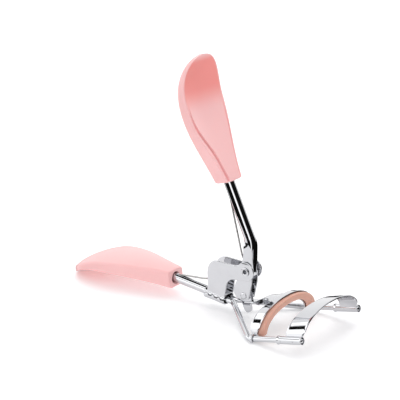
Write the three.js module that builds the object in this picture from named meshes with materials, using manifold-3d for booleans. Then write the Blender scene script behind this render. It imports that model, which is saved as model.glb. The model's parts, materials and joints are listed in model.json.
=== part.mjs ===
// Eyelash curler, standing open on its lower grip and on the two elbows of its guide wires.
// Millimetres. +X points to the jaws, +Y to the user's left side of the tool, +Z up.
// The layout is worked out with x = 0 at the elbows and then moved, so that the origin of the
// finished part lies under the middle of its bounding box.

import * as THREE from "three";
import { mergeVertices } from "three/addons/utils/BufferGeometryUtils.js";
import Module from "manifold-3d";

const wasm = await Module();
wasm.setup();

// ---------------------------------------------------------------- driving dimensions

const ORIGIN_FROM_ELBOWS = -32.77; // x of the finished part's origin, measured from the elbows

const ROD_SPACING = 34; // between the centre lines of the two guide rods
const ROD_TILT = THREE.MathUtils.degToRad(12.6); // the rods climb towards their tips
const ROD_LENGTH = 21.7;
const WIRE_RADIUS = 1.0;
const ELBOW_HEIGHT = 0.9; // where the wires' centre lines would meet at an elbow without its bend
const ELBOW_TANGENT = 1.2; // how far from the corner the elbow's bend starts
const ROOT_SPACING = 2.15; // between the two wires inside the sleeve
const WIRE_PARTING = [-18.0, 4.1]; // x, z where the wires turn away from each other

const ARM_RADIUS = 1.65; // lower arm, a rolled tube
const ARM_WALL = 0.5;
const ARM_SEAM = 1.1; // width of the open seam
const ARM_MOUTH = [-43.4, 6.6]; // x, z where the arm enters the lower grip
const SLEEVE_FRONT = [-20.8, 4.4]; // x, z of the front end of the sleeve, on the arm's axis
const SLEEVE_LENGTH = 8.6;
const SLEEVE_HALF_WIDTH = 3.1; // wide enough to close over the feet of the cheeks
const SLEEVE_HALF_HEIGHT = 2.1;
const SLEEVE_WALL = 0.45;
const ARM_OVERLAP = 3.7; // length of arm inside the sleeve
const GRIP_SOCKET = 9; // length of arm inside a grip

const PIVOT = [-12.0, 17.1]; // x, z of the lever's pivot
const EAR_RADIUS = 3.35;
const CHEEK_INNER = 2.2; // |y| of the cheek's inner face
const CHEEK_OUTER = 2.7;
const RIVET_RADIUS = 1.05;
const RIVET_BORE = 0.75;
const RIVET_HEAD_RADIUS = 1.6;
const RIVET_HEAD = 0.35;
const RUNNING_FIT = 0.05; // radial clearance of a turning shaft
const SLIDING_FIT = 0.08; // radial clearance of a sliding eyelet
const PRESS_GAP = 0.1; // gap left between fixed pieces that touch

const LEVER_OUTER = 1.95; // |y| of the lever's outer faces
const LEVER_SHEET = 0.5;
const FORK_HALF_WIDTH = 1.1; // half the slot between the lever's lower prongs
const FORK_TOP = 15.6; // z where the prongs meet
const BEND = [-11.3, 27.0]; // x, z where the lever turns into a tube
const LEVER_MOUTH = [-20.6, 46.5]; // x, z where the lever enters the upper grip
const TUBE_RADIUS = 1.85;
const TUBE_WALL = 0.55;
const TUBE_SEAM = 1.3;

const LINK_REACH = 9.3; // from the pivot to the link pin
const LINK_LAG = THREE.MathUtils.degToRad(-19.5); // link pin's angle behind the rods' normal
const LINK_PIN_RADIUS = 0.8;
const LINK_HEAD_RADIUS = 1.2;
const LINK_HEAD = 0.3;
const LINK_SLOT_HALF_WIDTH = 1.25;
const LINK_SLOT_LOW = 0.53; // how far the pin dips below its place at rest
const LINK_SLOT_HIGH = 1.9; // how far it climbs
const LUG_HALF_THICKNESS = 0.65;

// Tongue of the moving jaw, in the rods' frame.
const TONGUE_REAR = -12.2;
const TONGUE_FRONT = 4.2;
const NECK_END = -8.3;
const NECK_LEVEL = 7.05;
const NECK_HALF_WIDTH = 0.8;
const TONGUE_HALF_WIDTH = 7.6;
const TONGUE_STEP = 1.6; // climb ahead of the lever
const TONGUE_CLIMB = 7.0; // length of that climb
const TONGUE_RISE = 0.95; // further climb to the arch
const TONGUE_DROP = 1.35; // how far its edges hang below its middle
const TONGUE_SHEET = 0.55;

const ARCH_POWER = 2.2; // squareness of the arches, 2 being an ellipse
const ARCH_STEPS = 24;
const ARCH_LEAN = 0.29; // the moving jaw leans forward this much per unit of height
const PAD_HALF_WIDTH = 15.5; // narrow enough to pass between the end sleeves
const PAD_HEIGHT = 9.15;
const PAD_THICKNESS = 2.4;
const PAD_REAR = 2.3; // distance along the rods at their level
const PAD_DEPTH = 2.8;
const ARCH_FOOT = 0.25; // height of the arches' feet above the rods' centre lines
const GUTTER_SHEET = 0.5;
const HOOD_REAR = -0.7; // rear edge of the hood beside the tongue
const HOOD_FOOT_CLEARANCE = 2.0; // how far forward the rear edge moves at the feet
const HOOD_TOP_SETBACK = 1.7; // and under the tongue
const HOOD_LIP = 0.6; // how far the hood reaches over the pad's back
const EYELET_OUTER = 1.65;
const EYELET_FROM = 1.25;
const EYELET_LENGTH = 1.0;
const EYELET_OPENING = -0.8; // the eyelets are loops left open below this level

const PLATE_HALF_WIDTH = 16.45;
const PLATE_REAR = 14.8;
const PLATE_FRONT = 22.0;
const PLATE_REAR_HEIGHT = 7.6;
const PLATE_FRONT_HEIGHT = 8.2;
const PLATE_REAR_LEAN = 0.25;
const PLATE_FRONT_LEAN = 0.21;
const PLATE_SHEET = 0.5;
const END_SLEEVE_OUTER = 1.35;
const END_SLEEVE_FROM = 12.2;
const END_SLEEVE_LENGTH = 9.7;

const SPRING_WIRE = 0.25; // radius
const SPRING_COIL = 1.37; // radius of the coil's centre line
const SPRING_PITCH = 0.62;
const SPRING_LANE = -1.1; // y of the coil's first turn
const SPRING_TURNS = 2.25;
const SPRING_UPPER_LANE = 1.1; // y of the upper leg's turn

const GRIP_LENGTH = 43.6;
const GRIP_WIDEST = 28.5; // distance of the widest place from the mouth
const GRIP_MOUTH_HALF_WIDTH = 4.1;
const GRIP_HALF_WIDTH = 10.3;
const GRIP_MOUTH_HALF_THICKNESS = 3.15;
const GRIP_TIP_HALF_THICKNESS = 1.15;
const GRIP_BOW = 4.3; // how far the grip bows towards the other grip
const GRIP_CURL = 4.6; // how far the tip curls back
const GRIP_DISH = 1.5; // depth of the thumb dish
const GRIP_DISH_FADE = 8; // length before the tip over which the dish runs out
const GRIP_CROWN = 1.3; // height of the crown on the opposite face
const GRIP_SQUARENESS = 3.6;
const LOWER_GRIP_MOUTH = [-43.7, 6.44];
const LOWER_GRIP_ANGLE = THREE.MathUtils.degToRad(187.6);
const UPPER_GRIP_MOUTH = [-20.9, 47.3];
const UPPER_GRIP_ANGLE = THREE.MathUtils.degToRad(105.9);

const ROUND_SIDES = 24;
const WIRE_SIDES = 10;
const SPRING_SIDES = 6;
const BORE_OVERRUN = 2; // how far a cutting tool runs past a face

// ---------------------------------------------------------------- materials

function pinkPlastic() {
  return new THREE.MeshStandardMaterial({ color: 0xf7b1b3, roughness: 0.42, metalness: 0 });
}

function chrome() {
  return new THREE.MeshStandardMaterial({ color: 0xe2e4e6, roughness: 0.08, metalness: 1 });
}

function silicone() {
  return new THREE.MeshStandardMaterial({ color: 0xe0a08a, roughness: 0.55, metalness: 0 });
}

function springSteel() {
  return new THREE.MeshStandardMaterial({ color: 0xb9babb, roughness: 0.2, metalness: 1 });
}

// ---------------------------------------------------------------- solids

function toSolid(geometry) {
  const bare = geometry.clone();
  bare.deleteAttribute("normal");
  bare.deleteAttribute("uv");
  const merged = mergeVertices(bare, 1e-4);
  const mesh = new wasm.Mesh({
    numProp: 3,
    vertProperties: new Float32Array(merged.attributes.position.array),
    triVerts: new Uint32Array(merged.index.array),
  });
  return new wasm.Manifold(mesh);
}

function toGeometry(solid) {
  const mesh = solid.getMesh();
  const geometry = new THREE.BufferGeometry();
  geometry.setAttribute("position", new THREE.BufferAttribute(mesh.vertProperties, 3));
  geometry.setIndex(new THREE.BufferAttribute(mesh.triVerts, 1));
  geometry.computeVertexNormals();
  return geometry;
}

function join(...geometries) {
  return toGeometry(geometries.map(toSolid).reduce((sum, solid) => sum.add(solid)));
}

function cut(geometry, ...tools) {
  return toGeometry(tools.map(toSolid).reduce((rest, tool) => rest.subtract(tool), toSolid(geometry)));
}

function common(a, b) {
  return toGeometry(toSolid(a).intersect(toSolid(b)));
}

// A shape drawn in (x, z) and given thickness from y = low to y = high.
function slab(shape, low, high) {
  const geometry = new THREE.ExtrudeGeometry(shape, {
    depth: high - low,
    bevelEnabled: false,
    curveSegments: ROUND_SIDES / 2,
  });
  geometry.rotateX(Math.PI / 2);
  return geometry.translate(0, high, 0);
}

// A shape drawn in (y, z) and run along +X.
function run(shape, from, length, steps = 1) {
  const geometry = new THREE.ExtrudeGeometry(shape, {
    depth: length,
    steps,
    bevelEnabled: false,
    curveSegments: ROUND_SIDES / 2,
  });
  const turn = new THREE.Matrix4().makeBasis(
    new THREE.Vector3(0, 1, 0),
    new THREE.Vector3(0, 0, 1),
    new THREE.Vector3(1, 0, 0),
  );
  return geometry.applyMatrix4(turn).translate(from, 0, 0);
}

// A round bar along Y, centred on (x, z).
function barAlongY(radius, x, z, low, high) {
  const bar = new THREE.CylinderGeometry(radius, radius, high - low, ROUND_SIDES);
  return bar.translate(x, (low + high) / 2, z);
}

// A round bar along X, centred on (y, z).
function barAlongX(radius, y, z, from, length) {
  const bar = new THREE.CylinderGeometry(radius, radius, length, ROUND_SIDES);
  bar.rotateZ(-Math.PI / 2);
  return bar.translate(from + length / 2, y, z);
}

function circle(radius) {
  return new THREE.Shape().absarc(0, 0, radius, 0, 2 * Math.PI, false);
}

// A wire of round section along a curve.
function wireAlong(curve, radius, steps, sides) {
  return new THREE.ExtrudeGeometry(circle(radius), {
    steps,
    curveSegments: sides / 2, // an arc of a full turn gets twice this many sides
    extrudePath: curve,
    bevelEnabled: false,
  });
}

// A path of straight runs through the points, with each corner rounded by a short curve.
function roundedPath(points, tangent) {
  const path = new THREE.CurvePath();
  let start = points[0];
  for (let i = 1; i < points.length - 1; i += 1) {
    const corner = points[i];
    const back = start.clone().sub(corner).setLength(tangent).add(corner);
    const ahead = points[i + 1].clone().sub(corner).setLength(tangent).add(corner);
    path.add(new THREE.LineCurve3(start, back));
    path.add(new THREE.QuadraticBezierCurve3(back, corner, ahead));
    start = ahead;
  }
  path.add(new THREE.LineCurve3(start, points[points.length - 1]));
  return path;
}

function mesh(name, geometry, material) {
  const piece = new THREE.Mesh(geometry, material);
  piece.name = name;
  return piece;
}

// ---------------------------------------------------------------- frames of reference

// Places geometry drawn along +X so that it starts at (x, z) and runs at an angle in the XZ plane.
function placeAt(geometry, [x, z], angle) {
  geometry.rotateY(-angle);
  return geometry.translate(x, 0, z);
}

// The rods' frame: x along the rods from the elbows, z square to them.
function rodFrame(geometry) {
  return placeAt(geometry, [0, ELBOW_HEIGHT], ROD_TILT);
}

function toRodFrame([x, z]) {
  const rise = z - ELBOW_HEIGHT;
  return [
    x * Math.cos(ROD_TILT) + rise * Math.sin(ROD_TILT),
    rise * Math.cos(ROD_TILT) - x * Math.sin(ROD_TILT),
  ];
}

function linkPinInRodFrame() {
  const [s, v] = toRodFrame(PIVOT);
  return [s + LINK_REACH * Math.sin(LINK_LAG), v - LINK_REACH * Math.cos(LINK_LAG)];
}

function linkPin() {
  const [s, v] = linkPinInRodFrame();
  return [
    s * Math.cos(ROD_TILT) - v * Math.sin(ROD_TILT),
    ELBOW_HEIGHT + s * Math.sin(ROD_TILT) + v * Math.cos(ROD_TILT),
  ];
}

function armAngle() {
  return Math.atan2(ARM_MOUTH[1] - SLEEVE_FRONT[1], ARM_MOUTH[0] - SLEEVE_FRONT[0]);
}

function leverAngle() {
  return Math.atan2(LEVER_MOUTH[1] - BEND[1], LEVER_MOUTH[0] - BEND[0]);
}

// ---------------------------------------------------------------- rolled tubes

// A rolled sheet section in (y, z) with its open seam towards +z.
function rolledSection(radius, wall, seam) {
  const inner = radius - wall;
  const outerGap = Math.asin(seam / 2 / radius);
  const innerGap = Math.asin(seam / 2 / inner);
  const top = Math.PI / 2;
  const shape = new THREE.Shape();
  shape.absarc(0, 0, radius, top + outerGap, top - outerGap + 2 * Math.PI, false);
  shape.absarc(0, 0, inner, top - innerGap + 2 * Math.PI, top + innerGap, true);
  shape.closePath();
  return shape;
}

function lowerArm() {
  const length = Math.hypot(ARM_MOUTH[0] - SLEEVE_FRONT[0], ARM_MOUTH[1] - SLEEVE_FRONT[1]);
  const start = SLEEVE_LENGTH - ARM_OVERLAP;
  const section = rolledSection(ARM_RADIUS, ARM_WALL, ARM_SEAM);
  const tube = run(section, start, length + GRIP_SOCKET - start);
  tube.rotateX(Math.PI); // the seam faces up once the tube points backwards
  return mesh("lower_arm", placeAt(tube, SLEEVE_FRONT, armAngle()), chrome());
}

// ---------------------------------------------------------------- pivot bracket

function cheekShape() {
  const [px, pz] = PIVOT;
  const shape = new THREE.Shape();
  shape.moveTo(-28.4, 5.2);
  shape.lineTo(-27.7, 8.4);
  shape.lineTo(-28.0, 13.0);
  shape.quadraticCurveTo(-27.8, 18.3, -23.2, 18.5);
  shape.lineTo(-17.6, 18.4);
  shape.quadraticCurveTo(-15.9, 18.4, px - EAR_RADIUS * 0.8, pz + EAR_RADIUS * 0.6);
  shape.absarc(px, pz, EAR_RADIUS, Math.PI - 0.6435, -0.5 * Math.PI, true);
  shape.lineTo(-15.4, 13.3);
  shape.quadraticCurveTo(-20.1, 13.1, -20.1, 9.0);
  shape.lineTo(-20.9, 4.4);
  shape.closePath();
  return shape;
}

function ovalShape(halfWidth, halfHeight) {
  return new THREE.Shape().absellipse(0, 0, halfWidth, halfHeight, 0, 2 * Math.PI, false, 0);
}

function pivotBracket() {
  const outer = run(ovalShape(SLEEVE_HALF_WIDTH, SLEEVE_HALF_HEIGHT), 0, SLEEVE_LENGTH);
  const bore = run(
    ovalShape(SLEEVE_HALF_WIDTH - SLEEVE_WALL, SLEEVE_HALF_HEIGHT - SLEEVE_WALL),
    -BORE_OVERRUN,
    SLEEVE_LENGTH + 2 * BORE_OVERRUN,
  );
  const angle = armAngle();
  const near = slab(cheekShape(), -CHEEK_OUTER, -CHEEK_INNER);
  const far = slab(cheekShape(), CHEEK_INNER, CHEEK_OUTER);
  const hole = barAlongY(RIVET_RADIUS + RUNNING_FIT, ...PIVOT, -2 * CHEEK_OUTER, 2 * CHEEK_OUTER);
  const joined = join(placeAt(outer, SLEEVE_FRONT, angle), near, far);
  return mesh("pivot_bracket", cut(joined, placeAt(bore, SLEEVE_FRONT, angle), hole), chrome());
}

function pivotRivet() {
  const [x, z] = PIVOT;
  const face = CHEEK_OUTER + RUNNING_FIT;
  const end = face + RIVET_HEAD;
  const barrel = barAlongY(RIVET_RADIUS, x, z, -end, end);
  const nearHead = barAlongY(RIVET_HEAD_RADIUS, x, z, -end, -face);
  const farHead = barAlongY(RIVET_HEAD_RADIUS, x, z, face, end);
  const bore = barAlongY(RIVET_BORE, x, z, -end - BORE_OVERRUN, end + BORE_OVERRUN);
  return mesh("pivot_rivet", cut(join(barrel, nearHead, farHead), bore), chrome());
}

// ---------------------------------------------------------------- guide wires

function guideWire(name, side) {
  const y = (side * ROD_SPACING) / 2;
  const rootY = (side * ROOT_SPACING) / 2;
  const angle = armAngle();
  const root = [
    SLEEVE_FRONT[0] + Math.cos(angle) * 4.5,
    SLEEVE_FRONT[1] + Math.sin(angle) * 4.5,
  ];
  const points = [
    new THREE.Vector3(root[0], rootY, root[1]),
    new THREE.Vector3(WIRE_PARTING[0], rootY, WIRE_PARTING[1]),
    new THREE.Vector3(0, y, ELBOW_HEIGHT),
    new THREE.Vector3(
      ROD_LENGTH * Math.cos(ROD_TILT),
      y,
      ELBOW_HEIGHT + ROD_LENGTH * Math.sin(ROD_TILT),
    ),
  ];
  const wire = wireAlong(roundedPath(points, ELBOW_TANGENT), WIRE_RADIUS, 48, WIRE_SIDES);
  return mesh(name, wire, chrome());
}

// ---------------------------------------------------------------- arches

// Points of an arch over the rods, from foot to foot, on a squared ellipse.
function archPoints(halfWidth, height) {
  const points = [];
  for (let i = 0; i <= ARCH_STEPS; i += 1) {
    const angle = (Math.PI * i) / ARCH_STEPS;
    const across = Math.cos(angle);
    const up = Math.max(0, Math.sin(angle));
    const y = halfWidth * Math.sign(across) * Math.abs(across) ** (2 / ARCH_POWER);
    points.push(new THREE.Vector2(y, ARCH_FOOT + height * up ** (2 / ARCH_POWER)));
  }
  return points;
}

// An arched strip in (y, z) between an outer and an inner arch.
function archShape(halfWidth, height, thickness) {
  const outer = archPoints(halfWidth, height);
  const inner = archPoints(halfWidth - thickness, height - thickness);
  return new THREE.Shape([...outer, ...inner.reverse()]);
}

function lean(geometry, amount) {
  const { position } = geometry.attributes;
  for (let i = 0; i < position.count; i += 1) {
    position.setX(i, position.getX(i) + amount * position.getZ(i));
  }
  return geometry;
}

function lashPad() {
  const shape = archShape(PAD_HALF_WIDTH, PAD_HEIGHT, PAD_THICKNESS);
  const pad = lean(run(shape, PAD_REAR, PAD_DEPTH), ARCH_LEAN);
  return mesh("lash_pad", rodFrame(pad), silicone());
}

// The tongue of the moving jaw: a crowned sheet that narrows from the arch back to the lug.
function tongue() {
  const sheet = new THREE.BoxGeometry(1, 1, 1, 14, 8, 1);
  const { position } = sheet.attributes;
  const { lerp, smoothstep } = THREE.MathUtils;
  for (let i = 0; i < position.count; i += 1) {
    const along = lerp(TONGUE_REAR, TONGUE_FRONT, position.getX(i) + 0.5);
    const across = 2 * position.getY(i);
    const flare = Math.max(0, (along - NECK_END) / (TONGUE_FRONT - NECK_END));
    const halfWidth = lerp(NECK_HALF_WIDTH, TONGUE_HALF_WIDTH, flare);
    const climb = smoothstep(along, NECK_END - 0.3, NECK_END + TONGUE_CLIMB);
    const centre = NECK_LEVEL + TONGUE_STEP * climb + TONGUE_RISE * flare;
    const drop = TONGUE_DROP * smoothstep(along, NECK_END, NECK_END + 4.2);
    const level = centre - drop * across * across + TONGUE_SHEET * position.getZ(i);
    position.setXYZ(i, along, halfWidth * across, level);
  }
  return sheet;
}

// The slotted lug that hangs under the tongue between the lever's prongs.
function lug() {
  const [s, v] = linkPinInRodFrame();
  const low = v - LINK_SLOT_LOW;
  const high = v + LINK_SLOT_HIGH;
  const radius = LINK_SLOT_HALF_WIDTH + 0.8;
  const blade = new THREE.Shape();
  blade.moveTo(s + radius, low);
  blade.lineTo(s + radius, high);
  blade.absarc(s, high, radius, 0, Math.PI, false);
  blade.lineTo(s - radius, low - 1);
  blade.quadraticCurveTo(s - radius - 0.4, 3.4, s - 0.4, 3.2);
  blade.quadraticCurveTo(s + 1.0, 3.2, s + 1.0, 4.8);
  blade.quadraticCurveTo(s + 1.1, 6.4, s + radius, 6.7);
  blade.closePath();
  const slot = new THREE.Path();
  slot.absarc(s, high, LINK_SLOT_HALF_WIDTH, 0, Math.PI, false);
  slot.absarc(s, low, LINK_SLOT_HALF_WIDTH, Math.PI, 2 * Math.PI, false);
  slot.closePath();
  blade.holes.push(slot);
  return slab(blade, -LUG_HALF_THICKNESS, LUG_HALF_THICKNESS);
}

// The arched sheet round the pad. Its rear edge clears the elbows of the wires at its feet,
// reaches furthest back beside the tongue, and is narrow where the tongue joins. Its front lip
// is set back at the feet, which come close to the end sleeves when the jaws shut.
function hoodGeometry(halfWidth, height) {
  const { smoothstep } = THREE.MathUtils;
  const hood = run(archShape(halfWidth, height, GUTTER_SHEET), 0, PAD_REAR);
  const { position } = hood.attributes;
  for (let i = 0; i < position.count; i += 1) {
    const level = position.getZ(i);
    if (position.getX(i) < PAD_REAR / 2) {
      const clear = HOOD_FOOT_CLEARANCE * (1 - smoothstep(level, 0.4, 3.2));
      const middle = HOOD_TOP_SETBACK * smoothstep(level, 7.2, 9.0);
      position.setX(i, HOOD_REAR + clear + middle);
    } else {
      position.setX(i, PAD_REAR + HOOD_LIP * smoothstep(level, 1.2, 3.2));
    }
  }
  return hood;
}

function movingJaw() {
  const halfWidth = PAD_HALF_WIDTH + PRESS_GAP + GUTTER_SHEET;
  const height = PAD_HEIGHT + PRESS_GAP + GUTTER_SHEET;
  const wallFrom = PAD_REAR - PRESS_GAP - GUTTER_SHEET;
  const hood = hoodGeometry(halfWidth, height);
  const wallShape = archShape(halfWidth - 0.2, height - 0.2, PAD_THICKNESS + 0.2);
  const wall = run(wallShape, wallFrom, GUTTER_SHEET);
  const arch = lean(join(hood, wall), ARCH_LEAN);
  const bores = [];
  const eyelets = [];
  for (const side of [-1, 1]) {
    const y = (side * ROD_SPACING) / 2;
    eyelets.push(barAlongX(EYELET_OUTER, y, 0, EYELET_FROM, EYELET_LENGTH));
    bores.push(
      barAlongX(
        WIRE_RADIUS + SLIDING_FIT,
        y,
        0,
        EYELET_FROM - BORE_OVERRUN,
        EYELET_LENGTH + 2 * BORE_OVERRUN,
      ),
    );
  }
  const below = new THREE.BoxGeometry(20, 2 * ROD_SPACING, 4).translate(0, 0, EYELET_OPENING - 2);
  const body = cut(join(arch, ...eyelets), ...bores, below);
  return mesh("moving_jaw", rodFrame(join(body, tongue(), lug())), chrome());
}

function fixedJaw() {
  const depth = PLATE_FRONT - PLATE_REAR;
  const shape = archShape(PLATE_HALF_WIDTH, PLATE_REAR_HEIGHT, PLATE_SHEET);
  const plate = run(shape, 0, depth, 4);
  const { position } = plate.attributes;
  const growth = PLATE_FRONT_HEIGHT / PLATE_REAR_HEIGHT - 1;
  for (let i = 0; i < position.count; i += 1) {
    const along = position.getX(i) / depth;
    const z = position.getZ(i) * (1 + growth * along);
    const leanHere = THREE.MathUtils.lerp(PLATE_REAR_LEAN, PLATE_FRONT_LEAN, along);
    position.setZ(i, z);
    position.setX(i, PLATE_REAR + position.getX(i) + leanHere * z);
  }
  const sleeves = [];
  const bores = [];
  for (const side of [-1, 1]) {
    const y = (side * ROD_SPACING) / 2;
    sleeves.push(barAlongX(END_SLEEVE_OUTER, y, 0, END_SLEEVE_FROM, END_SLEEVE_LENGTH));
    bores.push(
      barAlongX(
        WIRE_RADIUS + RUNNING_FIT,
        y,
        0,
        END_SLEEVE_FROM - BORE_OVERRUN,
        END_SLEEVE_LENGTH + 2 * BORE_OVERRUN,
      ),
    );
  }
  return mesh("fixed_jaw", rodFrame(cut(join(plate, ...sleeves), ...bores)), chrome());
}

// ---------------------------------------------------------------- upper lever

// Side outline of the pressed channel, in (x, z).
function leverOutline() {
  const shape = new THREE.Shape();
  shape.moveTo(-11.1, 6.9);
  shape.lineTo(-9.75, 13.0);
  shape.lineTo(-9.65, 22.0);
  shape.lineTo(-9.85, 26.8);
  shape.lineTo(-11.1, 29.4);
  shape.lineTo(-13.4, 28.2);
  shape.lineTo(-13.3, 24.0);
  shape.quadraticCurveTo(-13.2, 20.0, -15.1, 17.2);
  shape.lineTo(-15.9, 13.0);
  shape.quadraticCurveTo(-18.2, 8.8, -16.6, 7.2);
  shape.quadraticCurveTo(-15.4, 6.1, -13.4, 6.2);
  shape.closePath();
  return shape;
}

// The hollow of the channel, open at the back and at the bottom.
function leverHollow() {
  const shape = new THREE.Shape();
  shape.moveTo(-11.9, 5.0);
  shape.lineTo(-10.2, 13.0);
  shape.lineTo(-10.1, 22.0);
  shape.lineTo(-10.3, 26.6);
  shape.lineTo(-12.2, 30.2);
  shape.lineTo(-20.0, 30.2);
  shape.lineTo(-20.0, 5.0);
  shape.closePath();
  return shape;
}

function upperLever() {
  const inner = LEVER_OUTER - LEVER_SHEET;
  const angle = leverAngle();
  const length = Math.hypot(LEVER_MOUTH[0] - BEND[0], LEVER_MOUTH[1] - BEND[1]) + GRIP_SOCKET;
  const tubeShape = rolledSection(TUBE_RADIUS, TUBE_WALL, TUBE_SEAM);
  const tube = placeAt(run(tubeShape, -0.6, length + 0.6), BEND, angle);
  const bore = run(circle(TUBE_RADIUS - TUBE_WALL), -0.8, 8);
  const channel = cut(
    slab(leverOutline(), -LEVER_OUTER, LEVER_OUTER),
    slab(leverHollow(), -inner, inner),
    placeAt(bore, BEND, angle),
  );
  const fork = new THREE.Shape([
    new THREE.Vector2(-20, 0),
    new THREE.Vector2(0, 0),
    new THREE.Vector2(0, FORK_TOP),
    new THREE.Vector2(-20, FORK_TOP),
  ]);
  const body = cut(
    join(channel, tube),
    slab(fork, -FORK_HALF_WIDTH, FORK_HALF_WIDTH),
    barAlongY(RIVET_RADIUS + RUNNING_FIT, ...PIVOT, -2 * LEVER_OUTER, 2 * LEVER_OUTER),
    barAlongY(LINK_PIN_RADIUS + RUNNING_FIT, ...linkPin(), -2 * LEVER_OUTER, 2 * LEVER_OUTER),
  );
  return mesh("upper_lever", body, chrome());
}

function linkPinPiece() {
  const [x, z] = linkPin();
  const face = LEVER_OUTER + RUNNING_FIT;
  const end = face + LINK_HEAD;
  const pin = join(
    barAlongY(LINK_PIN_RADIUS, x, z, -end, end),
    barAlongY(LINK_HEAD_RADIUS, x, z, -end, -face),
    barAlongY(LINK_HEAD_RADIUS, x, z, face, end),
  );
  return mesh("link_pin", pin, chrome());
}

// ---------------------------------------------------------------- torsion spring

function coilPoint(angle, y) {
  return new THREE.Vector3(
    PIVOT[0] + SPRING_COIL * Math.cos(angle),
    y,
    PIVOT[1] + SPRING_COIL * Math.sin(angle),
  );
}

// The coil turns round the rivet, then its lower leg lies along the lower arm and dips into the
// arm's seam beside the grip.
function springCoil() {
  const leaves = -0.5 * Math.PI;
  const points = [];
  const steps = 32;
  for (let i = 0; i <= steps; i += 1) {
    const turned = (SPRING_TURNS * i) / steps;
    points.push(coilPoint(leaves - 2 * Math.PI * turned, SPRING_LANE + SPRING_PITCH * turned));
  }
  points.reverse();
  points.push(new THREE.Vector3(-16.5, -1.0, 14.9));
  points.push(new THREE.Vector3(-24.0, -0.6, 11.6));
  points.push(new THREE.Vector3(-30.5, -0.2, 9.5));
  points.push(new THREE.Vector3(-34.5, 0, 8.9));
  points.push(new THREE.Vector3(-38.5, 0, 8.5));
  points.push(new THREE.Vector3(-42.2, 0, 8.0));
  const wire = wireAlong(new THREE.CatmullRomCurve3(points), SPRING_WIRE, 84, SPRING_SIDES);
  return mesh("spring_coil", wire, springSteel());
}

// The upper leg takes the last part of a turn in its own lane and climbs to the tube's seam.
function springUpperLeg() {
  const points = [];
  const steps = 10;
  for (let i = 0; i <= steps; i += 1) {
    points.push(coilPoint((0.4 - (1.5 * i) / steps) * Math.PI, SPRING_UPPER_LANE));
  }
  points.push(new THREE.Vector3(-14.6, SPRING_UPPER_LANE, 18.9));
  points.push(new THREE.Vector3(-16.0, 1.0, 21.6));
  points.push(new THREE.Vector3(-17.2, 0.7, 27.0));
  points.push(new THREE.Vector3(-18.7, 0.3, 34.0));
  points.push(new THREE.Vector3(-20.5, 0, 42.0));
  points.push(new THREE.Vector3(-21.6, 0, 45.4));
  const wire = wireAlong(new THREE.CatmullRomCurve3(points), SPRING_WIRE, 48, SPRING_SIDES);
  return mesh("spring_upper_leg", wire, springSteel());
}

// ---------------------------------------------------------------- grips

function gripHalfWidth(t) {
  if (t > GRIP_WIDEST) {
    const past = (t - GRIP_WIDEST) / (GRIP_LENGTH - GRIP_WIDEST);
    return GRIP_HALF_WIDTH * Math.sqrt(Math.max(0.006, 1 - past ** 2.4));
  }
  const rise = THREE.MathUtils.smootherstep(t, -9, GRIP_WIDEST + 3);
  const start = THREE.MathUtils.smootherstep(0, -9, GRIP_WIDEST + 3);
  const end = THREE.MathUtils.smootherstep(GRIP_WIDEST, -9, GRIP_WIDEST + 3);
  const share = (rise - start) / (end - start);
  return THREE.MathUtils.lerp(GRIP_MOUTH_HALF_WIDTH, GRIP_HALF_WIDTH, share);
}

function gripCentre(t) {
  if (t > GRIP_WIDEST) {
    const past = (t - GRIP_WIDEST) / (GRIP_LENGTH - GRIP_WIDEST);
    return GRIP_CURL * past * past - GRIP_BOW;
  }
  return -GRIP_BOW * (1 - (1 - t / GRIP_WIDEST) ** 1.5);
}

function gripHalfThickness(t) {
  const share = (t / GRIP_LENGTH) ** 1.6;
  return THREE.MathUtils.lerp(GRIP_MOUTH_HALF_THICKNESS, GRIP_TIP_HALF_THICKNESS, share);
}

// A grip in its own frame: x from the mouth to the tip, z outwards to the thumb's side.
function gripGeometry() {
  const body = new THREE.CylinderGeometry(1, 1, 1, 28, 18);
  const { position } = body.attributes;
  for (let i = 0; i < position.count; i += 1) {
    const t = GRIP_LENGTH * Math.sin((position.getY(i) + 0.5) * 0.5 * Math.PI);
    const radius = Math.hypot(position.getX(i), position.getZ(i));
    const angle = Math.atan2(position.getX(i), position.getZ(i));
    const c = Math.cos(angle);
    const s = Math.sin(angle);
    const across = radius * Math.sign(c) * Math.abs(c) ** (2 / GRIP_SQUARENESS);
    const up = radius * Math.sign(s) * Math.abs(s) ** (2 / GRIP_SQUARENESS);
    const hollow = 1 - across * across;
    const { smoothstep } = THREE.MathUtils;
    const fade = 1 - smoothstep(t, GRIP_LENGTH - GRIP_DISH_FADE, GRIP_LENGTH);
    const dish = GRIP_DISH * fade * smoothstep(t, 1, GRIP_WIDEST);
    const crown = GRIP_CROWN * smoothstep(t, -6, 14);
    const shift = up > 0 ? -dish * hollow * up : -crown * hollow * -up;
    const height = gripCentre(t) + gripHalfThickness(t) * up + shift;
    position.setXYZ(i, t, gripHalfWidth(t) * across, height);
  }
  return body;
}

function placeGrip(geometry, [x, z], angle, side) {
  const matrix = new THREE.Matrix4().makeBasis(
    new THREE.Vector3(Math.cos(angle), 0, Math.sin(angle)),
    new THREE.Vector3(0, side, 0),
    new THREE.Vector3(-side * Math.sin(angle), 0, side * Math.cos(angle)),
  );
  matrix.setPosition(x, 0, z);
  return geometry.applyMatrix4(matrix);
}

function lowerGrip() {
  const grip = placeGrip(gripGeometry(), LOWER_GRIP_MOUTH, LOWER_GRIP_ANGLE, 1);
  const socket = run(circle(ARM_RADIUS + PRESS_GAP), -BORE_OVERRUN, GRIP_SOCKET + BORE_OVERRUN + 0.5);
  const table = new THREE.BoxGeometry(120, 40, 10).translate(-50, 0, -5);
  const bored = cut(grip, placeAt(socket, ARM_MOUTH, armAngle()), table);
  return mesh("lower_grip", bored, pinkPlastic());
}

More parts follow.
